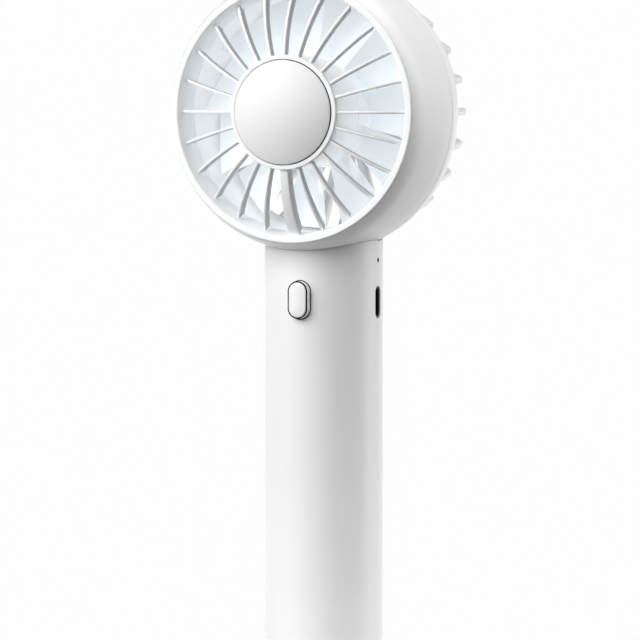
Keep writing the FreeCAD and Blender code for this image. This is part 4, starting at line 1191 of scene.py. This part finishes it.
def make_floor():
    """A plain pale round floor."""
    finish = Finish("floor_pale", (0.66, 0.665, 0.67), 0.6)
    grain = finish.noise(60.0, 3.0)
    finish.tint(grain, (0.65, 0.655, 0.66), (0.67, 0.675, 0.68))
    finish.bump(finish.noise(900.0), 2e-5, 0.3)
    surface = Surface()
    turns = 128
    rings = 12
    radii = [FLOOR_RADIUS * number / rings for number in range(rings + 1)]
    rows = [[post_point(radius, TAU * n / turns, 0) for n in range(turns)] for radius in radii]
    surface.grid(rows)
    mesh = bpy.data.meshes.new("studio_floor")
    mesh.from_pydata([tuple(point) for point in surface.points], [], surface.faces)
    mesh.materials.append(finish.material)
    floor = bpy.data.objects.new("studio_floor", mesh)
    bpy.context.scene.collection.objects.link(floor)


def make_world():
    """White to the camera. As light, a low glow from behind the fan and a high one from the right."""
    world = bpy.data.worlds.new("studio_white")
    bpy.context.scene.world = world
    world.use_nodes = True
    nodes, links = world.node_tree.nodes, world.node_tree.links
    nodes.clear()
    place = nodes.new("ShaderNodeTexCoord").outputs["Generated"]
    split = nodes.new("ShaderNodeSeparateXYZ")
    links.new(place, split.inputs[0])

    def reckon(operation, first, second):
        node = nodes.new("ShaderNodeMath")
        node.operation = operation
        for value, socket in zip((first, second), node.inputs):
            if isinstance(value, (int, float)):
                socket.default_value = value
            else:
                links.new(value, socket)
        return node.outputs[0]

    def lobe(way, side, strength):
        """Light that fades away from one direction, above or below the horizon only."""
        facing = nodes.new("ShaderNodeVectorMath")
        facing.operation = "DOT_PRODUCT"
        facing.inputs[1].default_value = way
        links.new(place, facing.inputs[0])
        half = reckon(side, split.outputs["Z"], 0.0)
        fade = reckon("MULTIPLY", reckon("MAXIMUM", facing.outputs["Value"], 0.0), half)
        return reckon("MULTIPLY", fade, strength)

    sine, cosine = math.sin(CAMERA_TURN), math.cos(CAMERA_TURN)
    behind = lobe((-sine, cosine, 0), "LESS_THAN", SKY_BEHIND)
    right = lobe((cosine, sine, 0), "GREATER_THAN", SKY_RIGHT)
    seen = nodes.new("ShaderNodeBackground")
    seen.inputs["Color"].default_value = SKY_WHITE
    light = nodes.new("ShaderNodeBackground")
    links.new(reckon("ADD", behind, right), light.inputs["Strength"])
    choice = nodes.new("ShaderNodeMixShader")
    path = nodes.new("ShaderNodeLightPath")
    output = nodes.new("ShaderNodeOutputWorld")
    links.new(path.outputs["Is Camera Ray"], choice.inputs[0])
    links.new(light.outputs[0], choice.inputs[1])
    links.new(seen.outputs[0], choice.inputs[2])
    links.new(choice.outputs[0], output.inputs["Surface"])


def make_lights():
    """Soft boxes round the fan, aimed at it."""
    for name, azimuth, elevation, width, height, power in LIGHTS:
        turn, rise = math.radians(azimuth), math.radians(elevation)
        level = Vector((math.sin(turn), -math.cos(turn), 0))
        way = level * math.cos(rise) + Vector((0, 0, math.sin(rise)))
        lamp = bpy.data.lights.new(name, "AREA")
        lamp.shape = "RECTANGLE"
        lamp.size = width
        lamp.size_y = height
        lamp.energy = power
        holder = bpy.data.objects.new(name, lamp)
        holder.location = LIGHT_TARGET + way * LIGHT_DISTANCE
        holder.rotation_euler = (-way).to_track_quat("-Z", "Y").to_euler()
        bpy.context.scene.collection.objects.link(holder)


CAMERA_TURN = math.radians(24.0)
CAMERA_RISE = math.radians(1.67)
CAMERA_DISTANCE = 3.0
CAMERA_DROP = 0.0599
CAMERA_SIDE = -0.00115
CAMERA_LENS = 587.475


def make_camera():
    """A long-lens camera in front, turned to the socket's side and a little above level.

    It aims at a point under the head's middle and slightly to its left.
    """
    right = Vector((math.cos(CAMERA_TURN), math.sin(CAMERA_TURN), 0))
    level = Vector((math.sin(CAMERA_TURN), -math.cos(CAMERA_TURN), 0))
    toward = level * math.cos(CAMERA_RISE) + Vector((0, 0, math.sin(CAMERA_RISE)))
    lens = bpy.data.cameras.new("view")
    lens.sensor_width = 36.0
    lens.lens = CAMERA_LENS
    lens.clip_end = 20.0
    camera = bpy.data.objects.new("view", lens)
    target = Vector((0, 0, HEAD.z - CAMERA_DROP)) + right * CAMERA_SIDE
    camera.location = target + toward * CAMERA_DISTANCE
    camera.rotation_euler = (-toward).to_track_quat("-Z", "Y").to_euler()
    bpy.context.scene.collection.objects.link(camera)
    bpy.context.scene.camera = camera


make_drum()
make_neck()
make_front_rim()
make_hub_ring()
make_front_fins()
make_front_cap()
make_rear_grille()
make_impeller()
make_handle()
make_foot()
make_button()
make_button_shade_band()
make_button_shade_ring()
make_port()
finish_nodes()
make_floor()
make_world()
make_lights()
make_camera()
bpy.context.scene.view_settings.view_transform = "Standard"
